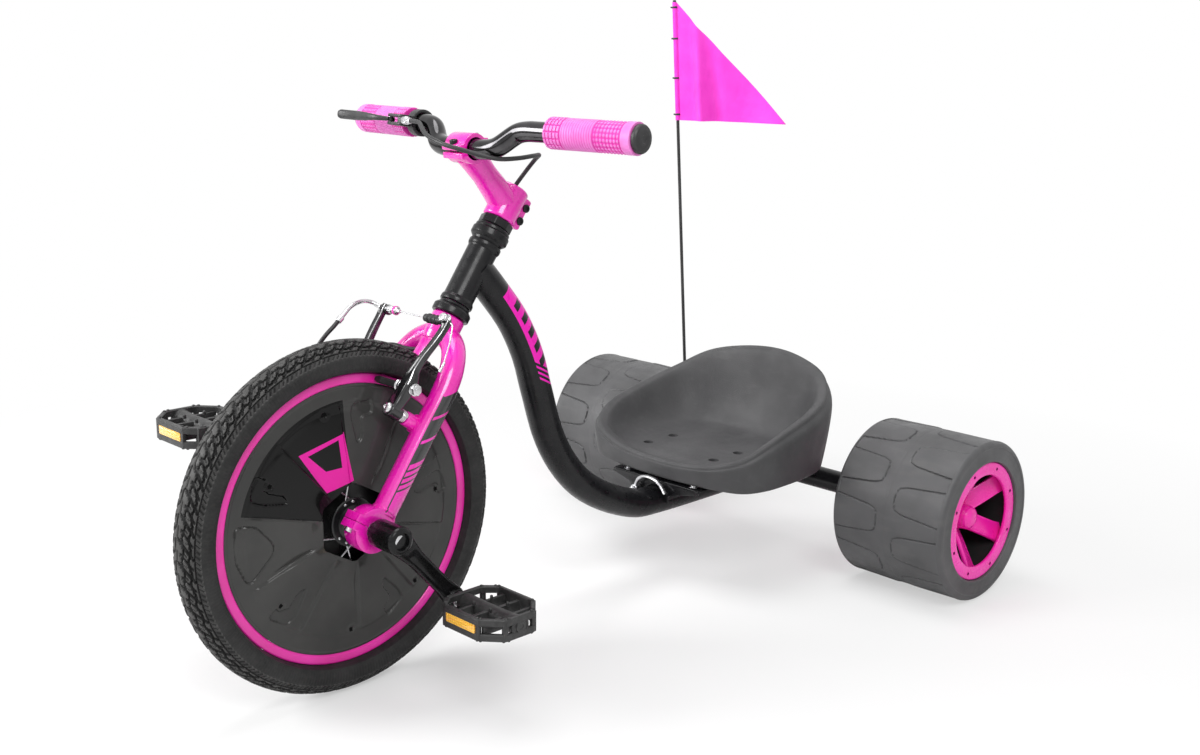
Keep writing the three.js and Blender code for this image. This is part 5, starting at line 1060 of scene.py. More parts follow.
cover_plastic = cover_finish()
cover_hub_offset, cover_rim_offset, cover_outer, cover_corner = 22, 12.4, 149.1, 45
cover_rows, cover_columns = 96, 720
theta = turns(cover_columns)
apothem = cover_corner * math.cos(math.pi / 6)
bend = np.mod(theta + np.pi / 6, np.pi / 3) - np.pi / 6
opening = np.minimum(apothem / np.cos(bend), 43.6)
share = np.linspace(0, 1, cover_rows)[:, None]
radius = opening + (cover_outer - opening) * share
cx, cz = radius * np.cos(theta), radius * np.sin(theta)


def to_segment(x, z, start, end):
    """The distance from each point to a straight segment: the point's share along it is held
    between 0 and 1."""
    (ax, az), (bx, bz) = start, end
    run = (bx - ax) ** 2 + (bz - az) ** 2
    t = np.clip(((x - ax) * (bx - ax) + (z - az) * (bz - az)) / run, 0, 1)
    return np.hypot(x - ax - t * (bx - ax), z - az - t * (bz - az)), t


def to_outline(x, z, corners):
    """The distance to a closed outline, negative inside it: the nearest segment gives the size,
    and the count of crossings gives the side."""
    best = np.full(x.shape, 1e9)
    within = np.zeros(x.shape, bool)
    for (ax, az), (bx, bz) in zip(corners, np.roll(corners, -1, 0)):
        best = np.minimum(best, to_segment(x, z, (ax, az), (bx, bz))[0])
        crosses = (az > z) != (bz > z)
        within ^= crosses & (x < (bx - ax) * (z - az) / (bz - az + 1e-12) + ax)
    return np.where(within, -best, best)


sector, first_crease = math.radians(36), math.radians(14)
place_in_sector = np.mod(theta - first_crease, sector) / sector
tangent = np.minimum(place_in_sector, 1 - place_in_sector) * sector * radius
saw = (place_in_sector - 0.5) * np.clip(tangent / 1.2, 0, 1)
fan = between(radius, 48, 126, 10)
height = 3.4 * saw * fan * (0.55 + 0.45 * step(radius - 60, 30))
height -= 0.9 * step(radius - 127.5, 3) * step(146.5 - radius, 2)
for k in range(5):
    swing = math.radians(-72 * k)
    c, s = math.cos(swing), math.sin(swing)
    px, pz = cx * c + cz * s, -cx * s + cz * c
    hook = fillet([[112, 72], [118, 46], [104, 40], [76, 36], [80, 45], [101, 52], [98, 66]], 5)
    height -= 2.6 * step(-to_outline(px, pz, hook), 2)
    d, t = to_segment(px, pz, (120, -49), (41, -19))
    width = 0.6 + 8 * np.sin(np.pi * np.clip(t, 0, 1) ** 1.5)
    height -= (3.4 if k in (0, 2, 3) else 1.4) * np.clip((width - d) / (width + 0.4), 0, 1) * step(
        px * 30 + pz * 79 - 50, 30)
hatch = fillet([[137, 22], [116, 22], [90, -8], [124, -44], [137, -14]], [6, 12, 16, 12, 6],
    steps=8)
hatch_gap = np.abs(to_outline(cx, cz, hatch))
height -= 1.6 * np.clip(1.3 - hatch_gap / 0.9, 0, 1)
screw = np.full(cx.shape, 1e9)
for hx, hz in [(88, -73), (1.6, -124), (-85, -90), (-115.5, 10.6), (95.7, 57.8), (-60, 106),
    (28, 121)]:
    screw = np.minimum(screw, np.hypot(cx - hx, cz - hz))
height = np.where(screw < 6, height * 0.4, height) - 1.3 * np.clip(3.6 - screw, 0, 1)
rim_inner = 149.4
slope = (cover_hub_offset - cover_rim_offset) / (rim_inner - cover_corner)
cone = cover_rim_offset + slope * (rim_inner - radius)
height = np.clip(height, -3.6, 1.7)
fall = step(radius - cover_outer + 1.2, 2.4) * 0.8
face = np.stack([cx, cone + height - fall, cz], -1)
inside = face[::-8] - [0, 2, 0]
# The screw holes are shallow dimples; their floors get a near-black finish, painted shade that
# stands for deep holes.
screw_face = (screw < 2.6)[:-1]
kinds = np.zeros((cover_rows + len(inside), cover_columns), int)
kinds[: cover_rows - 1] = screw_face
painted_hole_shade = Finish("painted_hole_shade", base_color=(0.002, 0.002, 0.002), roughness=0.9,
    specular_ior_level=0.1)
for name, side in left_and_right:
    grid = np.vstack([face, inside]) * [1, side, 1]
    put("cover_" + name, [skin(grid, kinds.ravel(), round_rows=True)], "front_wheel",
        [cover_plastic, painted_hole_shade], ["wheel_cover_" + name], where=wheel,
        crease=38)

# ---- Hub and spokes: a black alloy shell with two drilled flanges on the spindle, laced with
# plain steel spokes that cross behind the covers. A thin black disc stands between the flanges.
hub_paint = Finish("hub_black", metallic=0.3, specular_ior_level=0.5).surface(
    (0.008, 0.008, 0.009), (0.018, 0.018, 0.018), (0.25, 0.4), [(0.01, 0.8)])
hub_side = [(8.9, -32), (13.2, -32), (14, -31), (14, -25), (15.5, -23), (19, -21.2), (25.4, -21),
    (27, -20.2), (27, -18.8), (25.4, -18), (18, -17.6), (14.5, -15)]
hub_profile = hub_side + [(13.4, 0)] + [(r, -y) for r, y in hub_side[::-1]]
disc_ring = [(13, -0.8), (72, -0.8), (72, 0.8), (13, 0.8)]
hub_shells = [hoop_on_y(hub_profile, edge=0.4, sides=64), hoop_on_y(disc_ring, edge=0.3, sides=96)]
spoke_count, crossing = 7, math.radians(38)
for side in (1, -1):
    for i in range(spoke_count):
        far = 2 * math.pi * (i + (0 if side > 0 else 0.5)) / spoke_count
        near = far + (crossing if i % 2 else -crossing)
        foot, tip = [23, side * 19.6, 0] @ swung(near), [148, side * 3.2, 0] @ swung(far)
        head, nipple = foot + [0, side * 1.2, 0], tip - unit(tip - foot) * 11
        hub_shells += [
            rod(foot, tip, 1, edge=0.2, sides=8, finish=1),
            spindle(head, head + [0, side * 1.5, 0], (1.9, 0), (1.6, 0.7), (0.8, 1), edge=0.3,
                sides=12, finish=1),
            spindle(nipple, tip, (1.5, 0), (2.1, 0.2), (2.1, 1), edge=0.3, sides=8, finish=1),
        ]
put("hub_and_spokes", hub_shells, "front_wheel", [hub_paint, bright_steel],
    ["front_hub"], where=wheel)
spindle_profile = [
    (6.4, 0), (7, 0.006), (7, 0.02), (8.5, 0.02), (8.5, 0.98), (7, 0.98), (7, 0.994), (6.4, 1)]
put("axle_spindle", [spindle([0, -104, 0], [0, 104, 0], *spindle_profile)], "front_wheel",
    [bright_steel], ["front_spindle"], where=wheel)
for name, side in left_and_right:
    race = [(8.9, 43.7), (12, 43.7), (12.4, 44.5), (15.2, 44.5), (15.6, 43.7), (17.5, 43.7),
            (17.5, 57.7), (8.9, 57.7)]
    put("wheel_bearing_" + name, [hoop_on_y(race, side, edge=0.3)], "fork",
        [bright_steel], ["front_bearing_" + name], where=wheel)

# ---- Cranks: forged steel arms pressed on the spindle, black, waisted between a deep boss and the
# pedal's eye, with a hexagon bolt in the boss and a shallow fuller along the outer face.
crank_length, crank_angle = 111, math.radians(228.3)
crank_paint = Finish(
    "crank_black", metallic=0.1, specular_ior_level=0.18, coat_weight=0.15, coat_roughness=0.04,
).surface((0.003, 0.003, 0.003), (0.007, 0.007, 0.008), (0.2, 0.32), [(0.015, 1)], 20)
crank_along = np.linspace(-15.2, crank_length + 11.7, 90)
half_height = np.interp(crank_along, [-15.2, -14, -10, 0, 12, 34, 88, 100, 111, 119, 122, 122.7],
    [1.5, 6, 11, 14.8, 13.2, 9.6, 9.4, 10.6, 12, 9.3, 5.4, 1.5])
half_thick = np.interp(crank_along, [-15.2, -14, 0, 20, 60, 100, 120, 122.7],
    [4.6, 6, 6.6, 6.5, 6, 6.5, 5.6, 4.4])
square_c, square_s = squarer(circle(1, 56), 0.42).T
fuller = 1.1 * np.clip(1 - np.abs(square_s) / 0.55, 0, 1) ** 0.5 * (square_c > 0)
fuller_run = between(crank_along, 24, 92, 6)[:, None]
arm_grid = np.stack([
    np.repeat(crank_along[:, None], 56, 1),
    97.5 + half_thick[:, None] * square_c - fuller * fuller_run,
    half_height[:, None] * square_s,
], -1)
boss_profile = [(8.9, 66), (13.6, 66), (15.2, 68), (15.5, 84), (15.5, 104), (14.2, 106.5),
    (11.5, 108), (9.4, 108), (8.9, 107)]
eye_ring = [(5.3, 90.8), (9.2, 90.8), (9.8, 91.6), (9.8, 103.6), (9.2, 104.3), (5.3, 104.3)]
hexagon = fillet(circle(6.6, 6), 0.8, steps=2)
pin_profile = [(4.2, 0), (5, 0.01), (5, 0.125), (7.4, 0.126), (8.5, 0.14), (8.5, 0.17), (7, 0.18),
    (7, 0.2), (5, 0.205), (5, 1)]
pedal_places = []
for name, side, swing in [("left", 1, crank_angle), ("right", -1, crank_angle + math.pi)]:
    crank_axes = swung(swing) * [[1], [side], [1]]
    pedal_at = (front_axle + crank_length * crank_axes[0], np.diag([1, side, 1]))
    pedal_places.append((name, pedal_at))
    shells = [
        skin(arm_grid), hoop_on_y(boss_profile, edge=0.8), slab(hexagon, 97, 103.2, 0.7, finish=1),
        hoop([crank_length, 0, 0], [crank_length, 1, 0], eye_ring, edge=0.3),
    ]
    put("crank_arm_" + name, shells, "front_wheel", [crank_paint, bright_steel],
        ["crank_" + name], where=(front_axle, crank_axes), crease=42)
    put("pedal_spindle_" + name, [spindle([0, 91.3, 0], [0, 198, 0], *pin_profile, edge=0.3)],
        "front_wheel", [bright_steel], ["pedal_axle_" + name], where=pedal_at)

# ---- Pedals: moulded black plastic platforms. Two rails run round the edge and are tied by posts,
# cross ribs and a barrel; small studs stand on the rails and an amber reflector sits in each side.
pedal_inner, pedal_width, pedal_half, pedal_high = 113.5, 94, 40, 12


def rail(outer, inner, low, high, edge=0.8, finish=0):
    """A flat ring between an outer and an inner outline with as many points: eight rows go round
    its section, drawn in by the edge at each corner."""
    outer, inner = np.asarray(outer, float), np.asarray(inner, float)
    way = (inner - outer) / (np.linalg.norm(inner - outer, axis=1)[:, None] + 1e-9)
    rows = [(outer, low + edge), (outer, high - edge), (outer + way * edge, high),
        (inner - way * edge, high), (inner, high - edge), (inner, low + edge),
        (inner - way * edge, low), (outer + way * edge, low)]
    grid = np.stack([level(flat, height) for flat, height in rows])
    return skin(grid, finish, round_rows=True)


def pedal_corners(inset):
    """The pedal's eight-cornered outline from above, drawn in by an inset."""
    low, high = pedal_inner + inset, pedal_inner + pedal_width - inset
    half = pedal_half - inset
    share = inset * 0.42
    w = pedal_width
    corners = np.array([
        [-half, pedal_inner + w * 0.16 + share], [-half * 0.62, low], [half * 0.62, low],
        [half, pedal_inner + w * 0.16 + share], [half, pedal_inner + w * 0.76 - share],
        [half * 0.5, high], [-half * 0.5, high], [-half, pedal_inner + w * 0.76 - share],
    ])
    return fillet(corners, 4, steps=4)


pedal_plastic = Finish("pedal_plastic", specular_ior_level=0.45).surface(
    (0.016, 0.016, 0.016), (0.03, 0.03, 0.03), (0.36, 0.52), [(0.05, 0.9), (0.02, 0.3)], 16,
).dust(0.4, (0.06, 0.06, 0.06), 4, 5, (1, 1, 1), 0.5, 0.78)
outline, inner_line = pedal_corners(0), pedal_corners(5.2)
middle = pedal_inner + pedal_width / 2
barrel = [(5.6, 1), (10.2, 1), (10.5, 2), (9.6, 30), (9.6, 64), (10.5, 84), (11.6, 90), (11.6, 92),
    (5.6, 92)]
cap_profile = [
    (11.8, 0), (11.8, 0.5), (10.4, 0.75), (9, 0.75), (8.8, 0.6), (6.4, 0.6), (6.2, 0.85),
    (3.4, 0.85), (3.2, 0.7)]
cap_foot, cap_tip = [0, pedal_inner + 90, 0], [0, pedal_inner + 95, 0]
pedal_shells = [
    rail(outline, inner_line, 4.2, pedal_high, 1), rail(outline, inner_line, -pedal_high, -4.2, 1),
    hoop([0, pedal_inner, 0], [0, pedal_inner + 1, 0], barrel, edge=0.6, sides=40),
    spindle(cap_foot, cap_tip, *cap_profile, edge=0.25, sides=40),
]
for side in (1, -1):
    ends, posts = (pedal_inner + 16, pedal_inner + 71), (pedal_inner + 17, pedal_inner + 70)
    bars = [(oblong(34.6, 37.2, *ends, 0.8, 2), 11, 0.5)]
    bars += [(oblong(35, 39.4, y - 3, y + 3, 1.2, 2), 11.5, 0.6) for y in posts]
    for x, y in [(25, pedal_inner + 3), (19, pedal_inner + pedal_width - 3.2)]:
        bars.append((oblong(x - 3, x + 3, y - 2.4, y + 2.4, 1.2, 2), 11.5, 0.6))
    for y, reach, thick in [(27, 37, 2), (50, 37, 2.4), (73, 34, 2)]:
        bars.append((oblong(8, reach, pedal_inner + y - thick, pedal_inner + y + thick, 0.9, 2),
            6.5, 0.6))
    for bar, high, edge in bars:
        pedal_shells.append(slab(bar * [side, 1], -high, high, edge, way="xyz"))
stud_profile = [(1.9, 0), (1.7, 0.75), (1.2, 1)]
studded = np.linspace(2, len(outline), 14, endpoint=False).astype(int)
stud_at = (outline[studded] + inner_line[studded]) / 2
for x, y in list(stud_at) + [(-12, middle - 14), (12, middle - 14), (12, middle + 12),
    (-12, middle + 12)]:
    for sign in (1, -1):
        base, tip = 11.4 if abs(x) > 13 or abs(y - middle) > 30 else 8.4, [x, y, sign * 13.2]
        pedal_shells.append(spindle([x, y, sign * base], tip, *stud_profile, edge=0.3, sides=10))

# The lenses are amber acrylic with a prism relief: small pyramids of two crossed triangle waves.
# Their colour is paler on the prism ridges, a painted glint, and they glow faintly through an
# emission, a painted light, though they are no lamp.
amber_lens = Finish(
    "amber_lens", specular_ior_level=0.6, coat_weight=1, coat_roughness=0.03,
    emission_color=(1, 0.35, 0.02), emission_strength=0.12,
)
prisms = [amber_lens.math("PINGPONG", part, 0.0016) for part in amber_lens.parts()[1:]]
amber_lens.surface(
    (0.82, 0.2, 0.01), (0.92, 0.36, 0.02), (0.12, 0.2), [(350, wave) for wave in prisms], 9,
).cover((prisms[0] + prisms[1]) * 500, (1, 0.62, 0.06))
reflector_at = pedal_inner + pedal_width * 0.46
lens = oblong(-23, 23, -5, 5, 1.4) + [reflector_at, 0]
for name, there in pedal_places:
    put("pedal_body_" + name, pedal_shells, "pedal_" + name, [pedal_plastic],
        ["pedal_" + name], where=there, crease=40)
    for end, low, high in [("front", 37.2, 39.8), ("rear", -39.8, -37.2)]:
        put(f"lens_{end}_{name}", [slab(lens, low, high, 0.5, way="yzx")], "pedal_" + name,
            [amber_lens], [f"reflector_{end}_{name}"], where=there)

# ---- Brake arms: two forged linear-pull arms, painted gloss black, bowed outwards between the
# pivot and the top, with a rib along each edge whose band of polished alloy is a painted highlight.
# A domed bolt and a coiled spring hold each on the fork's boss.
gloss_black = Finish(
    "gloss_black", metallic=0.05, specular_ior_level=0.4, coat_weight=0.6, coat_roughness=0.04,
).surface((0.006, 0.006, 0.007), (0.012, 0.012, 0.013), (0.16, 0.28), [(0.01, 1.2)])
polished = Finish("polished_alloy", metallic=1).surface(
    (0.56, 0.56, 0.57), (0.68, 0.68, 0.69), (0.14, 0.26), [(0.006, 0.6)], 12)
arm_sections = np.array([
    [-0.07, 0.055, 0, 0.035, 0.05], [0.03, 0.055, 0, 0.055, 0.075], [0.16, 0.07, 0.1, 0.065, 0.07],
    [0.3, 0.075, 0.22, 0.07, 0.068], [0.42, 0.052, 0.3, 0.045, 0.045],
    [0.57, 0.048, 0.55, 0.04, 0.038],
    [0.74, 0.062, 0.82, 0.036, 0.038], [0.88, 0.072, 0.95, 0.034, 0.038],
    [1, 0.07, 1, 0.038, 0.042],
])
arm_spread, arm_rows, arm_round = 15, 90, 40
arm_line = smooth_line(arm_sections * [arm_length, arm_length, arm_spread, arm_length, arm_length],
    arm_rows)
square_n, square_y = squarer(circle(1, arm_round), 0.5).T
arm_share = 1 - np.abs(np.linspace(-1, 1, arm_rows))[:, None]
arm_end = np.clip(arm_share * arm_rows / 6, 0.25, 1) ** 0.5
channel = 1.3 * np.clip(1 - np.abs(square_y) / 0.62, 0, 1) ** 0.4 * (square_n > 0)
channel_run = between(arm_line[:, 0], 38, 106, 8)[:, None]
arm_grid = np.stack([
    arm_front - arm_line[:, 1:2] + arm_line[:, 3:4] * square_n * arm_end - channel * channel_run,
    boss_offset + arm_line[:, 2:3] + arm_line[:, 4:5] * square_y * arm_end,
    np.repeat(boss_height + arm_line[:, 0:1], arm_round, 1),
], -1)
# Painted highlight: a band on each front edge takes the polished alloy finish where the gloss black
# shows a highlight streak.
painted_highlight_band = (square_n > 0.3**0.5) & (np.abs(square_y) > 0.72) & (np.abs(square_y) < 0.88)
arm_kinds = np.r_[(painted_highlight_band & (arm_line[:-1, 0:1] > 30)).ravel(), 0, 0].astype(int)
pivot_ring = [(4.8, 36), (7.6, 36), (8.5, 37), (8.5, 51.2), (7.8, 52), (4.8, 52)]
pivot_sleeve = [(4.8, 27.6), (5.9, 27.6), (5.9, 36), (4.8, 36)]
pivot_foot = np.array([0, boss_offset, boss_height])
spring_turns = np.linspace(0, 2 * np.pi * 4.5, 150)
spring_line = np.column_stack([
    28.2 + 6.8 * spring_turns / spring_turns[-1], boss_offset + 6.9 * np.cos(spring_turns),
    boss_height + 6.9 * np.sin(spring_turns),
])
spring_leg = smooth_line([spring_line[-1], spring_line[-1] + [2, 2.4, 9],
    [42, boss_offset + 6.5, boss_height + 24], [44, boss_offset + 8, boss_height + 40]], 30)
spring = skin(carry(np.vstack([spring_line, spring_leg[1:]]), circle(0.7, 8)), 1)
for name, side in left_and_right:
    mirrored = (steer_origin, steer_axes * [[1], [side], [1]])
    shells = [
        skin(arm_grid, arm_kinds),
        hoop(pivot_foot, pivot_foot + [1, 0, 0], pivot_ring, edge=0.5, sides=40),
        hoop(pivot_foot, pivot_foot + [1, 0, 0], pivot_sleeve, edge=0.2, sides=32, finish=1),
        spring,
    ]
    top = boss_height + arm_length * 0.978
    if side > 0:
        y = boss_offset + arm_spread - 2.5
        shells += [
            spindle([45.5, y, top], [53, y, top], (5.6, 0), (5.6, 0.72), (5, 0.78), (5, 0.95),
                (4.2, 1), edge=0.4, sides=6, finish=1),
            hoop([0, y, top], [1, y, top], [(3, 44.6), (6.4, 44.6), (6.4, 45.6), (3, 45.6)],
                edge=0.15, finish=1),
        ]
    else:
        y = boss_offset + arm_spread - 4
        shells.append(hoop([40.4, 0, wire_height], [40.4, 1, wire_height],
            [(3.2, y - 3), (5.6, y - 3), (6, y - 2), (6, y + 5), (5.6, y + 6), (3.2, y + 6)],
            edge=0.4, sides=32))
    put("arm_" + name, shells, "brake_arm_" + name, [gloss_black, polished],
        ["brake_arm_" + name], where=mirrored, crease=45)

# ---- Brake pads: moulded rubber shoes with cross slots, each on a steel stud. Cupped and domed
# washers and a hexagon nut clamp the stud in the arm's slot.
pad_at, pad_turn = np.array([40, 19.5, 150.2]), math.radians(12.3)
pad_long = np.linspace(-25, 25, 60)
pad_high = 4 * np.clip((25.6 - np.abs(pad_long)) / 4, 0.3, 1) ** 0.4
slots = np.abs(off_line(pad_long - 6, 12)) < 0.9
pad_y, pad_z = squarer(circle(1, 40), 0.4).T
pad_face = (pad_y < -(0.2**0.4)) * slots[:, None]
pad_grid = np.stack([
    np.repeat(pad_long[:, None], 40, 1), 5 * pad_y + 1.5 * pad_face, pad_high[:, None] * pad_z,
], -1)
pad_axes = swung(-pad_turn) @ steer_axes
stack = [
    (3, -1), (6.4, 0), (6.8, 2.2), (5.4, 4.4), (3, 4.6), (3, 7.4), (6.9, 7.6), (6.9, 9.2),
    (5.2, 10.4),
    (3, 10.6), (3, 29.6), (6.6, 29.8), (6.6, 31), (5, 32.2), (3, 32.4), (3, 33), (6.8, 33.1),
    (6.8, 34), (3, 34.1),
]
hex_nut = fillet(circle(6.2, 6), 0.7, steps=2)
for name, side in left_and_right:
    there = (place(pad_at * [1, side, 1], steering), pad_axes * [[1], [side], [1]])
    bolt = [
        spindle([0, 4, 0], [0, 40, 0], *[(r, (d + 1) / 40) for r, d in stack], (3, 1), edge=0.3,
            finish=1),
        slab(hex_nut, 34.2, 39.4, 0.5, finish=1),
    ]
    put("pad_" + name, [skin(pad_grid)] + bolt, "brake_arm_" + name, [tyre_rubber, polished],
        ["brake_pad_" + name], where=there, crease=40)

# ---- Noodle and boot: a bent stainless pipe leads the housing round to the right arm's cradle,
# with a ferrule at one end and a head at the other. A ribbed rubber boot covers the wire between
# the arms.
head = [
    (1.2, 0), (2, 0), (2, 3), (4, 4.2), (4.6, 5), (4.6, 9), (3.5, 9.6), (3.5, 12.4), (4.4, 13),
    (4.4, 19),
    (3.4, 21.6), (2.6, 22), (1.2, 22),
]
noodle_shells = [
    skin(carry(smooth_line(noodle_route, 70), circle(2.5, 20)), 0),
    spindle(noodle_tip + [0, 0.5, 0], noodle_tip + [0, -21.5, 0],
        *[(r, d / 22) for r, d in head[1:-1]], edge=0.3),
    hoop(ferrule_end, ferrule_end - noodle_way, [(2.4, -0.2), (3.4, -0.2), (3.8, 0.4), (3.8, 6.6),
        (3.2, 8.2), (2.4, 8.2)], edge=0.3, sides=32),
    hoop(noodle_tip, noodle_tip + [0, -1, 0], [(4.5, 5.4), (5.2, 5.4), (5.2, 8.4), (4.5, 8.4)],
        edge=0.3, finish=1),
]
put("noodle", noodle_shells, "brake_arm_right", [polished, pink_paint],
    ["brake_noodle"], where=steering)
boot = [(3.9, 0), (4.4, 0.4), (4.4, 3)]
for k in range(3):
    y = 4.6 + 6.6 * k
    boot += [(4.2, y), (5.5, y + 1.5), (5.5, y + 3.1), (4.2, y + 4.6)]
boot += [(4.3, 25), (3.9, 29.2), (3, 30)]
boot_shares = [(r, d / 30) for r, d in boot]
boot_foot, boot_tip = [wire_ahead, 19.4, wire_height], [wire_ahead, 49.2, wire_height]
put("boot", [spindle(boot_foot, boot_tip, *boot_shares)], "brake_arm_left", [cable_rubber],
    ["brake_boot"], where=steering)

# ---- Slick rear tyres: wide blow-moulded hard plastic tyres, hollow, dark grey and matt. Rounded
# tongues outlined by a fine groove reach in from both edges, and a seam runs round the middle.
slick_finish = Finish("slick_plastic", specular_ior_level=0.4).surface(
    (0.062, 0.062, 0.064), (0.085, 0.085, 0.088), (0.36, 0.5),
    [(0.05, 0.8), (0.03, 0.3), (0.25, 30)], 60,
).dust(0.35, (0.14, 0.14, 0.137), 14, 6, (1, 0.25, 1), 0.52, 0.85)
# Painted shade: the groove lines round the tongues and the middle seam are darkened.
slick_finish.cover(slick_finish.span(marked(slick_finish), 0.2, 1) * 0.25, (0.01, 0.01, 0.01))
slick_inner, slick_outer_y, slick_bore, shoulder = 188, 351, 77.8, 6.5
slick_rows, slick_columns = 104, 720
slick_y = np.linspace(slick_inner + shoulder, slick_outer_y - shoulder, slick_rows)
y, turn = np.meshgrid(slick_y, turns(slick_columns), indexing="ij")


def tongue(edge_distance, turn, centre, reach, half):
    """The signed distance to a round-ended tongue: a strip whose half width tapers towards the
    tip, joined to a half circle. Angles become lengths on the tread."""
    arc_length = off_line(turn - centre, math.radians(36)) * slick_radius
    narrow = half * (1 - 0.3 * np.clip(edge_distance / reach, 0, 1))
    strip = np.abs(arc_length) - narrow
    corner = 15.5
    inward = edge_distance - reach
    return np.minimum(np.maximum(strip, inward), 0) + np.hypot(
        np.maximum(strip + corner, 0), np.maximum(inward + corner, 0)) - corner * (
        (strip + corner > 0) | (inward + corner > 0))


outer_tongue = tongue(slick_outer_y - y, turn, math.radians(19.6), 72, 23.5)
inner_tongue = tongue(y - slick_inner, turn, math.radians(37.6), 68, 23.5)
lines = groove(outer_tongue, 1.9, 1.2) + groove(inner_tongue, 1.9, 1.2)
seam = groove(y - 268, 1.2, 0.8)
raised = 0.9 * (step(-outer_tongue, 3) + step(-inner_tongue, 3))
sag = -0.5 + 0.45 * np.cos((y - 268) / 71 * np.pi * 0.9)
slick_r = slick_radius - 1.5 + sag + raised - 1.7 * np.clip(lines, 0, 1) - 0.5 * seam
slick_r = np.minimum(slick_r, slick_radius)
tread = np.stack([slick_r * np.cos(turn), y, slick_r * np.sin(turn)], -1)
round_edge = np.radians(np.linspace(8, 90, 9))
edge_r = slick_radius - 1.3 - shoulder + shoulder * np.cos(round_edge)
edge_y = slick_outer_y - shoulder + (shoulder - 0.4) * np.sin(round_edge)
outside_wall = list(zip(edge_r, edge_y)) + [(r, slick_outer_y - inset) for r, inset in [
    (97, 0.2), (96.2, 0.9), (81.6, 0.9), (80.8, 0.3), (78.6, 0.4), (slick_bore, 1.6),
    (slick_bore, 8),
    (86, 10), (97, 22)]]
inside_wall = [(r, slick_inner + inset) for r, inset in [
    (97, 22), (86, 10), (slick_bore, 8), (slick_bore, 1), (80, 0.2)]]
inside_wall += list(zip(edge_r[::-1], slick_inner + slick_outer_y - edge_y[::-1]))
slick_grid = np.vstack([tread, lathe(outside_wall + inside_wall, slick_columns)])
sides_of_rear = [
    (name, side, (rear_axle_at, np.diag([1, side, 1]))) for name, side in left_and_right
]
for name, side, there in sides_of_rear:
    slick = put("slick_" + name, [skin(slick_grid, round_rows=True)], "rear_wheel_" + name,
        [slick_finish], ["slick_tyre_" + name], where=there, crease=38)
    # The groove lines and the seam are stored for the painted shade in the finish.
    mark(slick, np.clip(lines, 0, 1) + 0.6 * seam)

# ---- Turbine hubs: one-piece moulded pink nylon. A lip with small sink marks leads into a deep
# dish; six twisted blades join it to a tapered barrel, and a domed cap snaps over the axle's nut.
pink_plastic = pink_finish("pink_plastic", (0.92, 0.01, 0.4), (0.99, 0.025, 0.48), (0.22, 0.34),
    0.2)
blade_count, blade_root, blade_tip, blade_half, blade_thick = 6, 14.6, 74.5, 13, 3
share = np.linspace(0, 1, 34)
inset = 44 - 32 * share**0.8
lean = np.radians(32 * (1 - 0.4 * share))
flare = blade_half * (1 + 0.28 * np.exp(-share * 12) + 0.22 * np.exp(-(1 - share) * 14))
thick = blade_thick * (1 + 0.9 * np.exp(-share * 14) + 0.5 * np.exp(-(1 - share) * 16))
blade_ring = circle(1, 32)
wide = flare[:, None] * squarer(blade_ring[:, 0], 0.35)
deep = thick[:, None] * squarer(blade_ring[:, 1], 0.6)
deep += 0.7 * (np.abs(np.abs(wide) - flare[:, None] + 1.2) < 0.8) * np.sign(deep)
radial = blade_root + (blade_tip - blade_root) * share
along_y = (
    (slick_outer_y - inset - 4)[:, None] + wide * np.sin(lean)[:, None]
    + deep * np.cos(lean)[:, None]
)
tangential = wide * np.cos(lean)[:, None] - deep * np.sin(lean)[:, None]
blade = np.stack([np.repeat(radial[:, None], 32, 1), along_y, tangential], -1)
dish = [
    (74.6, 336), (74.6, 340), (71.5, 341.4), (64, 342), (61.2, 342.6), (60, 344), (60.3, 346.2),
    (61.6, 347.6),
    (66, 348), (75.4, 348), (76.8, 347.4), (77.4, 346), (77.4, 340), (76.6, 336),
]
back_disc = [
    (18, 190.3), (70, 190.3), (77, 190.3), (77.4, 191), (77.4, 199.4), (76.8, 200), (73.4, 200),
    (72.6, 195.4),
    (60, 195), (24, 195), (18, 198),
]
barrel = [
    (14.4, 190.3), (18, 190.3), (18, 301), (16.4, 318), (15.5, 325.6), (15, 326), (14.4, 326),
]
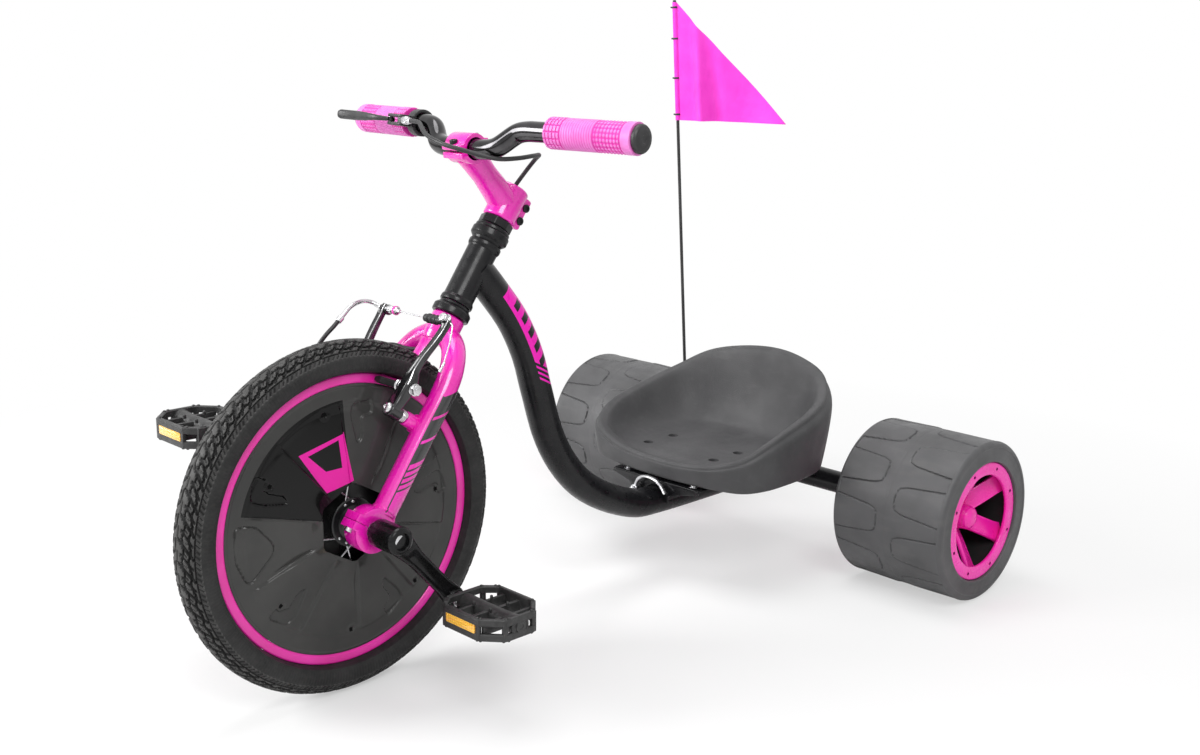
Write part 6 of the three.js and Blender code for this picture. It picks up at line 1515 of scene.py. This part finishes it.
# A thin near-black tube lines the tyre's bore behind the blades: painted shade for the deep
# openings between the blades.
tube_wall = [(73.2, 199.5), (76.8, 199.5), (76.8, 337), (73.2, 337)]
painted_bore_shade = Finish("painted_bore_shade", specular_ior_level=0.25).surface(
    (0.008, 0.008, 0.008), (0.014, 0.014, 0.014), (0.6, 0.75), [(0.02, 0.9)])
dimple = [(3, -0.1), (3, 0.25), (2.5, 0.3), (2.1, 0.1)]
for name, side, there in sides_of_rear:
    shells = [
        hoop_on_y(dish, edge=0.5, sides=160), hoop_on_y(back_disc, edge=0.5, sides=120),
        hoop_on_y(barrel, edge=0.3, sides=64), hoop_on_y(tube_wall, edge=0.1, sides=120, finish=1),
    ]
    shells += [skin(blade @ swung(math.radians(28 + 60 * i))) for i in range(blade_count)]
    for i in range(8):
        spot = [69.5, 347.9, 0] @ swung(math.radians(22 + 45 * i))
        shells.append(spindle(spot, spot + [0, 1, 0], *dimple, edge=0.1, sides=20))
    put("turbine_hub_" + name, shells, "rear_wheel_" + name, [pink_plastic, painted_bore_shade],
        ["slick_hub_" + name], where=there, crease=40)
    cap = [(15.2, 326.2), (15.5, 326.7), (15.5, 327.4), (15, 327.8), (15.1, 328.4), (14.2, 330.6),
        (12.4, 332.6), (9.8, 334.1), (6.6, 335), (3.2, 335.3)]
    cap_shares = [(r, (d - 326.2) / 9.1) for r, d in cap]
    put("hub_cap_" + name, [spindle([0, 326.2, 0], [0, 335.3, 0], *cap_shares, edge=0.3, sides=64)],
        "rear_wheel_" + name, [pink_plastic], ["slick_cap_" + name], where=there,
        crease=50)
    cartridge = [(6.3, 190.2), (9, 190.2), (9.4, 190.8), (12.4, 190.8), (12.8, 190.2),
        (14.2, 190.2), (14.2, 318.2), (12.8, 318.2), (12.4, 317.6), (9.4, 317.6), (9, 318.2),
        (6.3, 318.2)]
    put("rear_bearings_" + name, [hoop_on_y(cartridge, edge=0.2)], "rear_wheel_" + name,
        [bright_steel], ["slick_bearings_" + name], where=there)
axle_shells = [rod([0, -325.2, 0], [0, 325.2, 0], 6, edge=0.8)]
axle_nut = fillet(circle(10, 6), 1, steps=2)
spacer = [(6, 178.4), (8.4, 178.4), (9, 179), (9, 189), (8.4, 189.6), (6, 189.6)]
for side in (1, -1):
    axle_shells += [slab(axle_nut, *sorted([side * 318.8, side * 325.3]), 0.8),
        hoop_on_y(spacer, side, edge=0.3)]
put("axle_rod", axle_shells, "frame", [bright_steel], ["rear_axle"],
    where=(rear_axle_at, np.eye(3)))

# ---- Seat bracket: a folded steel plate, painted black, whose saddle straddles the spine. Four
# bolts carry the seat, two more hold the clamp's strap, and a lug in front carries the lever.
plate_z, plate_half, plate_front = 131, 77, rear_x + 243
plate_back = plate_front - 118
plate_paint = coat_finish("plate_paint")
top_outline = oblong(plate_back, plate_front, -plate_half, plate_half, 6)
bridge = arc(spine_radius + 0.35, 0, 180, 40, (0, slick_radius))
saddle_outline = np.vstack([
    fillet([[24, 105], [24, 115.4], [76.6, 128.6], [76.6, 132.6], [-76.6, 132.6], [-76.6, 128.6],
        [-24, 115.4], [-24, 105]], [0.6, 4, 2, 0.6, 0.6, 2, 4, 0.6], steps=3),
    bridge[::-1],
])
bracket_shells = [slab(top_outline, plate_z, plate_z + 3, 0.8, way="xyz")]
bolt_y, bolt_rows = 59, (rear_x + 193, rear_x + 143)
for x in (plate_front - 3, plate_back):
    bracket_shells.append(slab(saddle_outline, x, x + 3, 0.5, way="yzx"))
for side in (1, -1):
    cheek = np.array([[plate_back + 2, 109.4], [plate_front - 2, 109.4], [plate_front - 2, 132],
        [plate_back + 2, 132]])
    low, high = sorted([side * 21.2, side * 24])
    bracket_shells.append(slab(cheek, low, high, 0.5))
    for x in bolt_rows:
        at = np.array([x, side * bolt_y, 0])
        bracket_shells += [
            rod(at + [0, 0, 128.5], at + [0, 0, 157], 3, finish=1),
            spindle(at + [0, 0, 155], at + [0, 0, 158.4], (5.5, 0), (5.5, 0.3), (4.6, 0.8), (3, 1),
                (2.6, 1), (2.6, 0.5), edge=0.3, sides=28, finish=2),
            slab(fillet(circle(5.2, 6), 0.6, steps=2) + at[:2], 126.8, 131.2, 0.4, finish=1,
                way="xyz"),
        ]
    at = np.array([rear_x + 231, side * bolt_y, 0])
    bracket_shells += [
        spindle(at + [0, 0, 133.8], at + [0, 0, 136.2], (6.6, 0), (6.6, 0.3), (4, 0.32), (4, 0.9),
            (3.4, 1), edge=0.2, sides=24, finish=1),
        slab(fillet(circle(5.8, 6), 0.6, steps=2) + at[:2], 128.6, 131.2, 0.4, finish=1, way="xyz"),
    ]
lug_y, lug_z, lug_x = -27, 117, plate_front + 3
lug_plate = oblong(lug_y - 6, lug_y + 6, 111, 123, 2.5)
bracket_shells += [
    slab(lug_plate, plate_front - 3.4, plate_front + 0.6, 0.5, way="yzx"),
    spindle([plate_front - 2, lug_y, lug_z], [lug_x + 13, lug_y, lug_z], (2.4, 0), (2.4, 0.84),
        (3.6, 0.85), (3.6, 0.97), (2.8, 1), edge=0.3, finish=1),
]
put("bracket", bracket_shells, "seat_carriage", [plate_paint, bright_steel, black_steel],
    ["seat_bracket"])

# ---- Clamp lever: a quick-release cam drum on the lug, with a bent bright steel handle that ends
# in a flattened, rolled-over tip.
lever_x = lug_x + 5
lever_shares = np.array([[0, 0.08], [0.12, 0.3], [0.36, 0.42], [0.74, 0.4], [0.95, 0.28],
    [1.12, 0.08]])
lever_path = smooth_line(np.column_stack([np.full(6, lever_x), lug_y + 48 * lever_shares[:, 0],
        lug_z + 48 * lever_shares[:, 1]]), 60)
flatten = step(np.linspace(0, 1, 60)[:, None] - 0.3, 0.4)
oval = circle(1, 24) * np.hstack([2.4 + 1.3 * flatten, 2.6 - 0.7 * flatten])[:, None]
drum = [(2.7, 0.3), (4.8, 0.3), (5.5, 1), (5.5, 8), (4.8, 8.8), (2.7, 8.8)]
put("cam_lever", [
    hoop([lug_x + 0.5, lug_y, lug_z], [lug_x + 1.5, lug_y, lug_z], drum, edge=0.3, sides=40),
    skin(carry(lever_path, oval, side=[1, 0, 0])),
], "clamp_lever", [bright_steel], ["clamp_lever"], crease=45)

# ---- Seat: a one-piece bucket, rotationally moulded from thick black plastic with a leathery
# grain. A low lip in front rises to a high back with a rolled rim; four bolts sink in the floor.
# The plastic is matt polythene, with a fine leather grain and faint long scuffs in the pan.
seat_plastic = Finish("seat_plastic", specular_ior_level=0.24)
cell_spots = {"Vector": seat_plastic.turned(scale=(700, 700, 700)), "Scale": 1}
grain = seat_plastic.node("TexVoronoi", {}, cell_spots, "Distance")
seat_plastic.surface(
    (0.056, 0.056, 0.058), (0.076, 0.076, 0.078), (0.46, 0.58), [(0.1, grain), (0.05, 0.8)], 70,
).dust(0.3, (0.12, 0.12, 0.12), 9, 6, (1, 0.3, 1), 0.55, 0.9)
seat_columns = 84
seat_shares = np.array([
    [0, 0, 1], [0.036, 0.37, 0.965], [0.108, 0.7, 0.86], [0.236, 0.9, 0.68], [0.412, 0.98, 0.56],
    [0.596, 1, 0.46], [0.78, 0.985, 0.34], [0.908, 0.89, 0.19], [0.964, 0.64, 0.07],
    [0.992, 0.32, 0.01], [1, 0, 0],
])
seat_base, seat_floor, lip_height, back_height = 137, 163, 163, 277
both_sides = np.vstack([seat_shares, seat_shares[-2:0:-1] * [1, -1, 1]])
rim_points = both_sides * [250, 149, back_height - lip_height] + [rear_x - 7, 0, lip_height]
seat_rim = smooth_line(rim_points, seat_columns, closed=True)
seat_middle = np.array([rear_x - 7 + 250 * 0.52, 0])
floor_middle = seat_middle + [25, 0]
seat_lift = (seat_rim[:, 2] - lip_height) / (back_height - lip_height)


def outwards(points, distance, height):
    """The points moved away from the seat's middle by a distance, at a new height."""
    flat = points[:, :2] + unit(points[:, :2] - seat_middle) * np.reshape(distance, (-1, 1))
    return level(flat, height)


def floor_ring(share, drop=0):
    """The rim's outline drawn in to a share of its size round the pan's middle, on the floor."""
    flat = floor_middle + (seat_rim[:, :2] - floor_middle) * share
    return level(flat, seat_floor - drop)


seat_bulge, rim_round, seat_wall = 13, 5, 13
base_ring = outwards(seat_rim, -4 - 5.2 * seat_lift, seat_base)
lip_ring = outwards(seat_rim, -seat_wall, seat_rim[:, 2] - rim_round)
floor_edge = floor_ring(0.66)


def toward_floor(flat, rise):
    """A ring between the lip and the floor's edge: one share of the way across, another down."""
    mixed = lip_ring + (floor_edge - lip_ring) * flat
    mixed[:, 2] = lip_ring[:, 2] + (floor_edge[:, 2] - lip_ring[:, 2]) * rise
    return mixed


centre_base = np.array([*seat_middle, seat_base])
seat_rings = [centre_base + (base_ring - centre_base) * share for share in (0.25, 0.6, 0.96)]
seat_rings += [base_ring, outwards(base_ring, 3, seat_base + 1.2),
    outwards(base_ring, 4.2, seat_base + 4.5)]
for high, low_bulge, high_bulge in [(0.32, 0.05, 0.1), (0.62, 0.2, 0.35), (0.86, 0.25, 0.5)]:
    seat_rings.append(outwards(seat_rim, seat_bulge * (low_bulge + high_bulge * seat_lift),
        seat_base + (seat_rim[:, 2] - seat_base) * high))
for out, down in [(0.4, 7), (0.4, 3.2), (-0.8, 0.9), (-3.2, -0.1), (-6.8, 0.6), (-10.6, 2)]:
    seat_rings.append(outwards(seat_rim, out, seat_rim[:, 2] - down))
seat_rings += [
    outwards(seat_rim, -15, seat_rim[:, 2] - 4.2 + 1.4 * (1 - seat_lift)),
    toward_floor(0.35, 0.6), toward_floor(0.7, 0.92), floor_edge, floor_ring(0.5, 0.3),
    floor_ring(0.3, 0.4),
    floor_ring(0.1, 0.4),
]
bucket = put("bucket_seat", [skin(np.array(seat_rings))], "seat_carriage", [seat_plastic],
    ["seat"], crease=180)
smooth = bucket.modifiers.new("smooth", "SUBSURF")
smooth.levels = smooth.render_levels = 2


def settle(piece):
    """Turns the piece's modifiers into its own mesh."""
    seen = piece.evaluated_get(bpy.context.evaluated_depsgraph_get())
    shaped = bpy.data.meshes.new_from_object(seen)
    piece.modifiers.clear()
    piece.data = shaped


def drill(piece, foot, tip, radius):
    """Sinks a round hole into a piece, cut by a spindle that is then removed."""
    cutter = bpy.data.meshes.new("cutter")
    points, faces = rod(foot, tip, radius, edge=0.6)[:2]
    cutter.from_pydata((points * millimetre).tolist(), [], faces)
    work = bmesh.new()
    work.from_mesh(cutter)
    bmesh.ops.recalc_face_normals(work, faces=work.faces)
    work.to_mesh(cutter)
    work.free()
    tool = bpy.data.objects.new("cutter", cutter)
    bpy.context.scene.collection.objects.link(tool)
    cut = piece.modifiers.new("cut", "BOOLEAN")
    cut.operation, cut.object, cut.solver = "DIFFERENCE", tool, "EXACT"
    bpy.context.view_layer.update()
    settle(piece)
    bpy.data.objects.remove(tool)
    bpy.data.meshes.remove(cutter)


settle(bucket)
for x in bolt_rows:
    for y in (bolt_y, -bolt_y):
        drill(bucket, [x, y, 154.9], [x, y, 180], 7)
bucket.data.polygons.foreach_set("use_smooth", [True] * len(bucket.data.polygons))
bucket.data.set_sharp_from_angle(angle=math.radians(40))

# ---- Flag pole and flag: a thin black fibreglass rod stands in a socket on the rear beam. The
# pennant is one nylon triangle with a sewn sleeve, folded in soft waves and tied to the rod.
pole_finish = Finish("rod_black", specular_ior_level=0.45).surface(
    (0.014, 0.014, 0.014), (0.03, 0.03, 0.03), (0.3, 0.45), [(0.02, 0.5)])
pole_from = pole_foot + pole_way * 17.4
pole_profile = [(2.3, 0), (2.3, 0.994), (2.5, 0.9945), (2.5, 0.999), (1.6, 1)]
put("pole", [spindle(pole_from, pole_top, *pole_profile, edge=0.3, sides=20)], "frame",
    [pole_finish], ["flag_pole"])
# The cloth is nylon taffeta: a fine plain weave of two crossed sines, and soft creases.
pink_cloth = Finish("pink_cloth", specular_ior_level=0.3, sheen_weight=0.15)
weave = [(0.012, pink_cloth.math("SINE", across * 9000)) for across in pink_cloth.parts()[1:]]
pink_cloth.surface(
    (0.8, 0.035, 0.55), (0.88, 0.055, 0.62), (0.55, 0.7), weave + [(0.25, 12, 3)], 50)
hoist, fly, stream_turn = 169, 165, math.radians(22)
stream = np.array([-math.sin(stream_turn), math.cos(stream_turn), 0])
sideways = np.cross(stream, [0, 0, 1])
flag_top = pole_top - pole_way * 2.3
cloth_start = 3


def cloth_at(u, v, offset):
    """The pennant's surface: u runs out from the pole and v down the hoist. The drop keeps the
    lower edge level while the upper one falls to the tip; waves and a fold push it sideways."""
    drop = hoist * (1 - (1 - v) * (1 - u))
    fold = (
        13 * np.exp(-(((u - 0.2 - 0.03 * v) / 0.05) ** 2)) - 7 * np.exp(-(((u - 0.33) / 0.07) ** 2))
    )
    wave = np.sin(2.2 * np.pi * u + 1.4 * v) * 7 * np.sqrt(u) + fold * (0.4 + 0.6 * v)
    run = cloth_start + (fly - cloth_start) * u
    return (
        flag_top - pole_way * drop[..., None] + stream * run[..., None]
        + sideways * (wave + offset)[..., None]
    )


cloth_u, cloth_v = np.meshgrid(np.linspace(0, 0.999, 110), np.linspace(0.004, 0.996, 72),
    indexing="ij")
near_side, far_side = cloth_at(cloth_u, cloth_v, 0.2), cloth_at(cloth_u, cloth_v, -0.2)
cloth_grid = np.concatenate([near_side, far_side[:, ::-1]], 1)
cloth = put("pennant", [skin(cloth_grid)], "frame", [pink_cloth], ["flag"], crease=60)
sleeve_foot = flag_top - pole_way * (hoist - 0.6)
sleeve_ring = [(2.6, 0.2), (3.3, 0), (3.3, hoist - 1.2), (2.6, hoist - 1.4)]
sleeve = put(
    "pennant_sleeve", [hoop(sleeve_foot, sleeve_foot + pole_way, sleeve_ring, edge=0.1, sides=28)],
    "frame", [pink_cloth])
tie_ring, tie_shells = [(3.2, -1.4), (4, -1.2), (4.2, 0), (4, 1.2), (3.2, 1.4)], []
for down in (8, 52, 108, 160):
    at = flag_top - pole_way * down
    tie_shells += [hoop(at, at + pole_way, tie_ring, edge=0.3, sides=24),
        rod(at - stream * 3.8, at - stream * 6.2, 1.1, sides=12)]
ties = put("pennant_ties", tie_shells, "frame", [pole_finish])

# ---- Studio: a pale floor that keeps the trike's shadow, a plain soft world, and three large
# lamps. Towards the camera and in reflections the world and the far floor are plain white.
ground = bpy.data.meshes.new("floor")
ground.from_pydata([(-30, -30, 0), (30, -30, 0), (30, 30, 0), (-30, 30, 0)], [], [(0, 1, 2, 3)])
floor = bpy.data.objects.new("floor", ground)
bpy.context.scene.collection.objects.link(floor)
pale = Finish("floor", base_color=(0.87, 0.87, 0.87), roughness=0.6, specular_ior_level=0.2)
floor.data.materials.append(pale.material)
floor_x, floor_y = pale.parts()[:2]
distance = pale.math("SQRT", floor_x * floor_x + floor_y * floor_y)
ray = pale.node("LightPath", out="Is Camera Ray")
glow = pale.node("Emission", {}, {"Color": (1, 1, 1, 1), "Strength": 1})
blend = {0: pale.span(distance, -0.5, 1.4) * ray, 1: Value(pale, pale.shader.outputs["BSDF"]),
    2: glow}
mixed = pale.node("MixShader", {}, blend)
pale.tree.links.new(mixed.socket, pale.tree.nodes["Material Output"].inputs["Surface"])

studio = Finish("studio", bpy.data.worlds, "Background", color=(1, 1, 1))
bpy.context.scene.world = studio.material
camera_ray, glossy_ray, sent_ray = [
    studio.node("LightPath", out=f"Is {kind} Ray") for kind in ("Camera", "Glossy", "Transmission")]
levels = {"Value": camera_ray + (glossy_ray + sent_ray), "To Min": 0.36, "To Max": 1}
studio.feed("Strength", studio.node("MapRange", {}, levels))

for name, spot, size, power in [
    ("key", (1.4, 2.2, 2.6), 1.5, 60), ("top", (0.1, -0.3, 2.8), 1.4, 30),
    ("side", (2.3, -1.5, 1.5), 1.3, 72),
]:
    lamp = bpy.data.objects.new(name, bpy.data.lights.new(name, "AREA"))
    lamp.data.energy, lamp.data.size = power, size
    lamp.location = spot
    lamp.rotation_mode = "QUATERNION"
    lamp.rotation_quaternion = (Vector((0, 0, 0.25)) - Vector(spot)).to_track_quat("-Z", "Y")
    bpy.context.scene.collection.objects.link(lamp)
bpy.context.scene.view_settings.view_transform = "Standard"
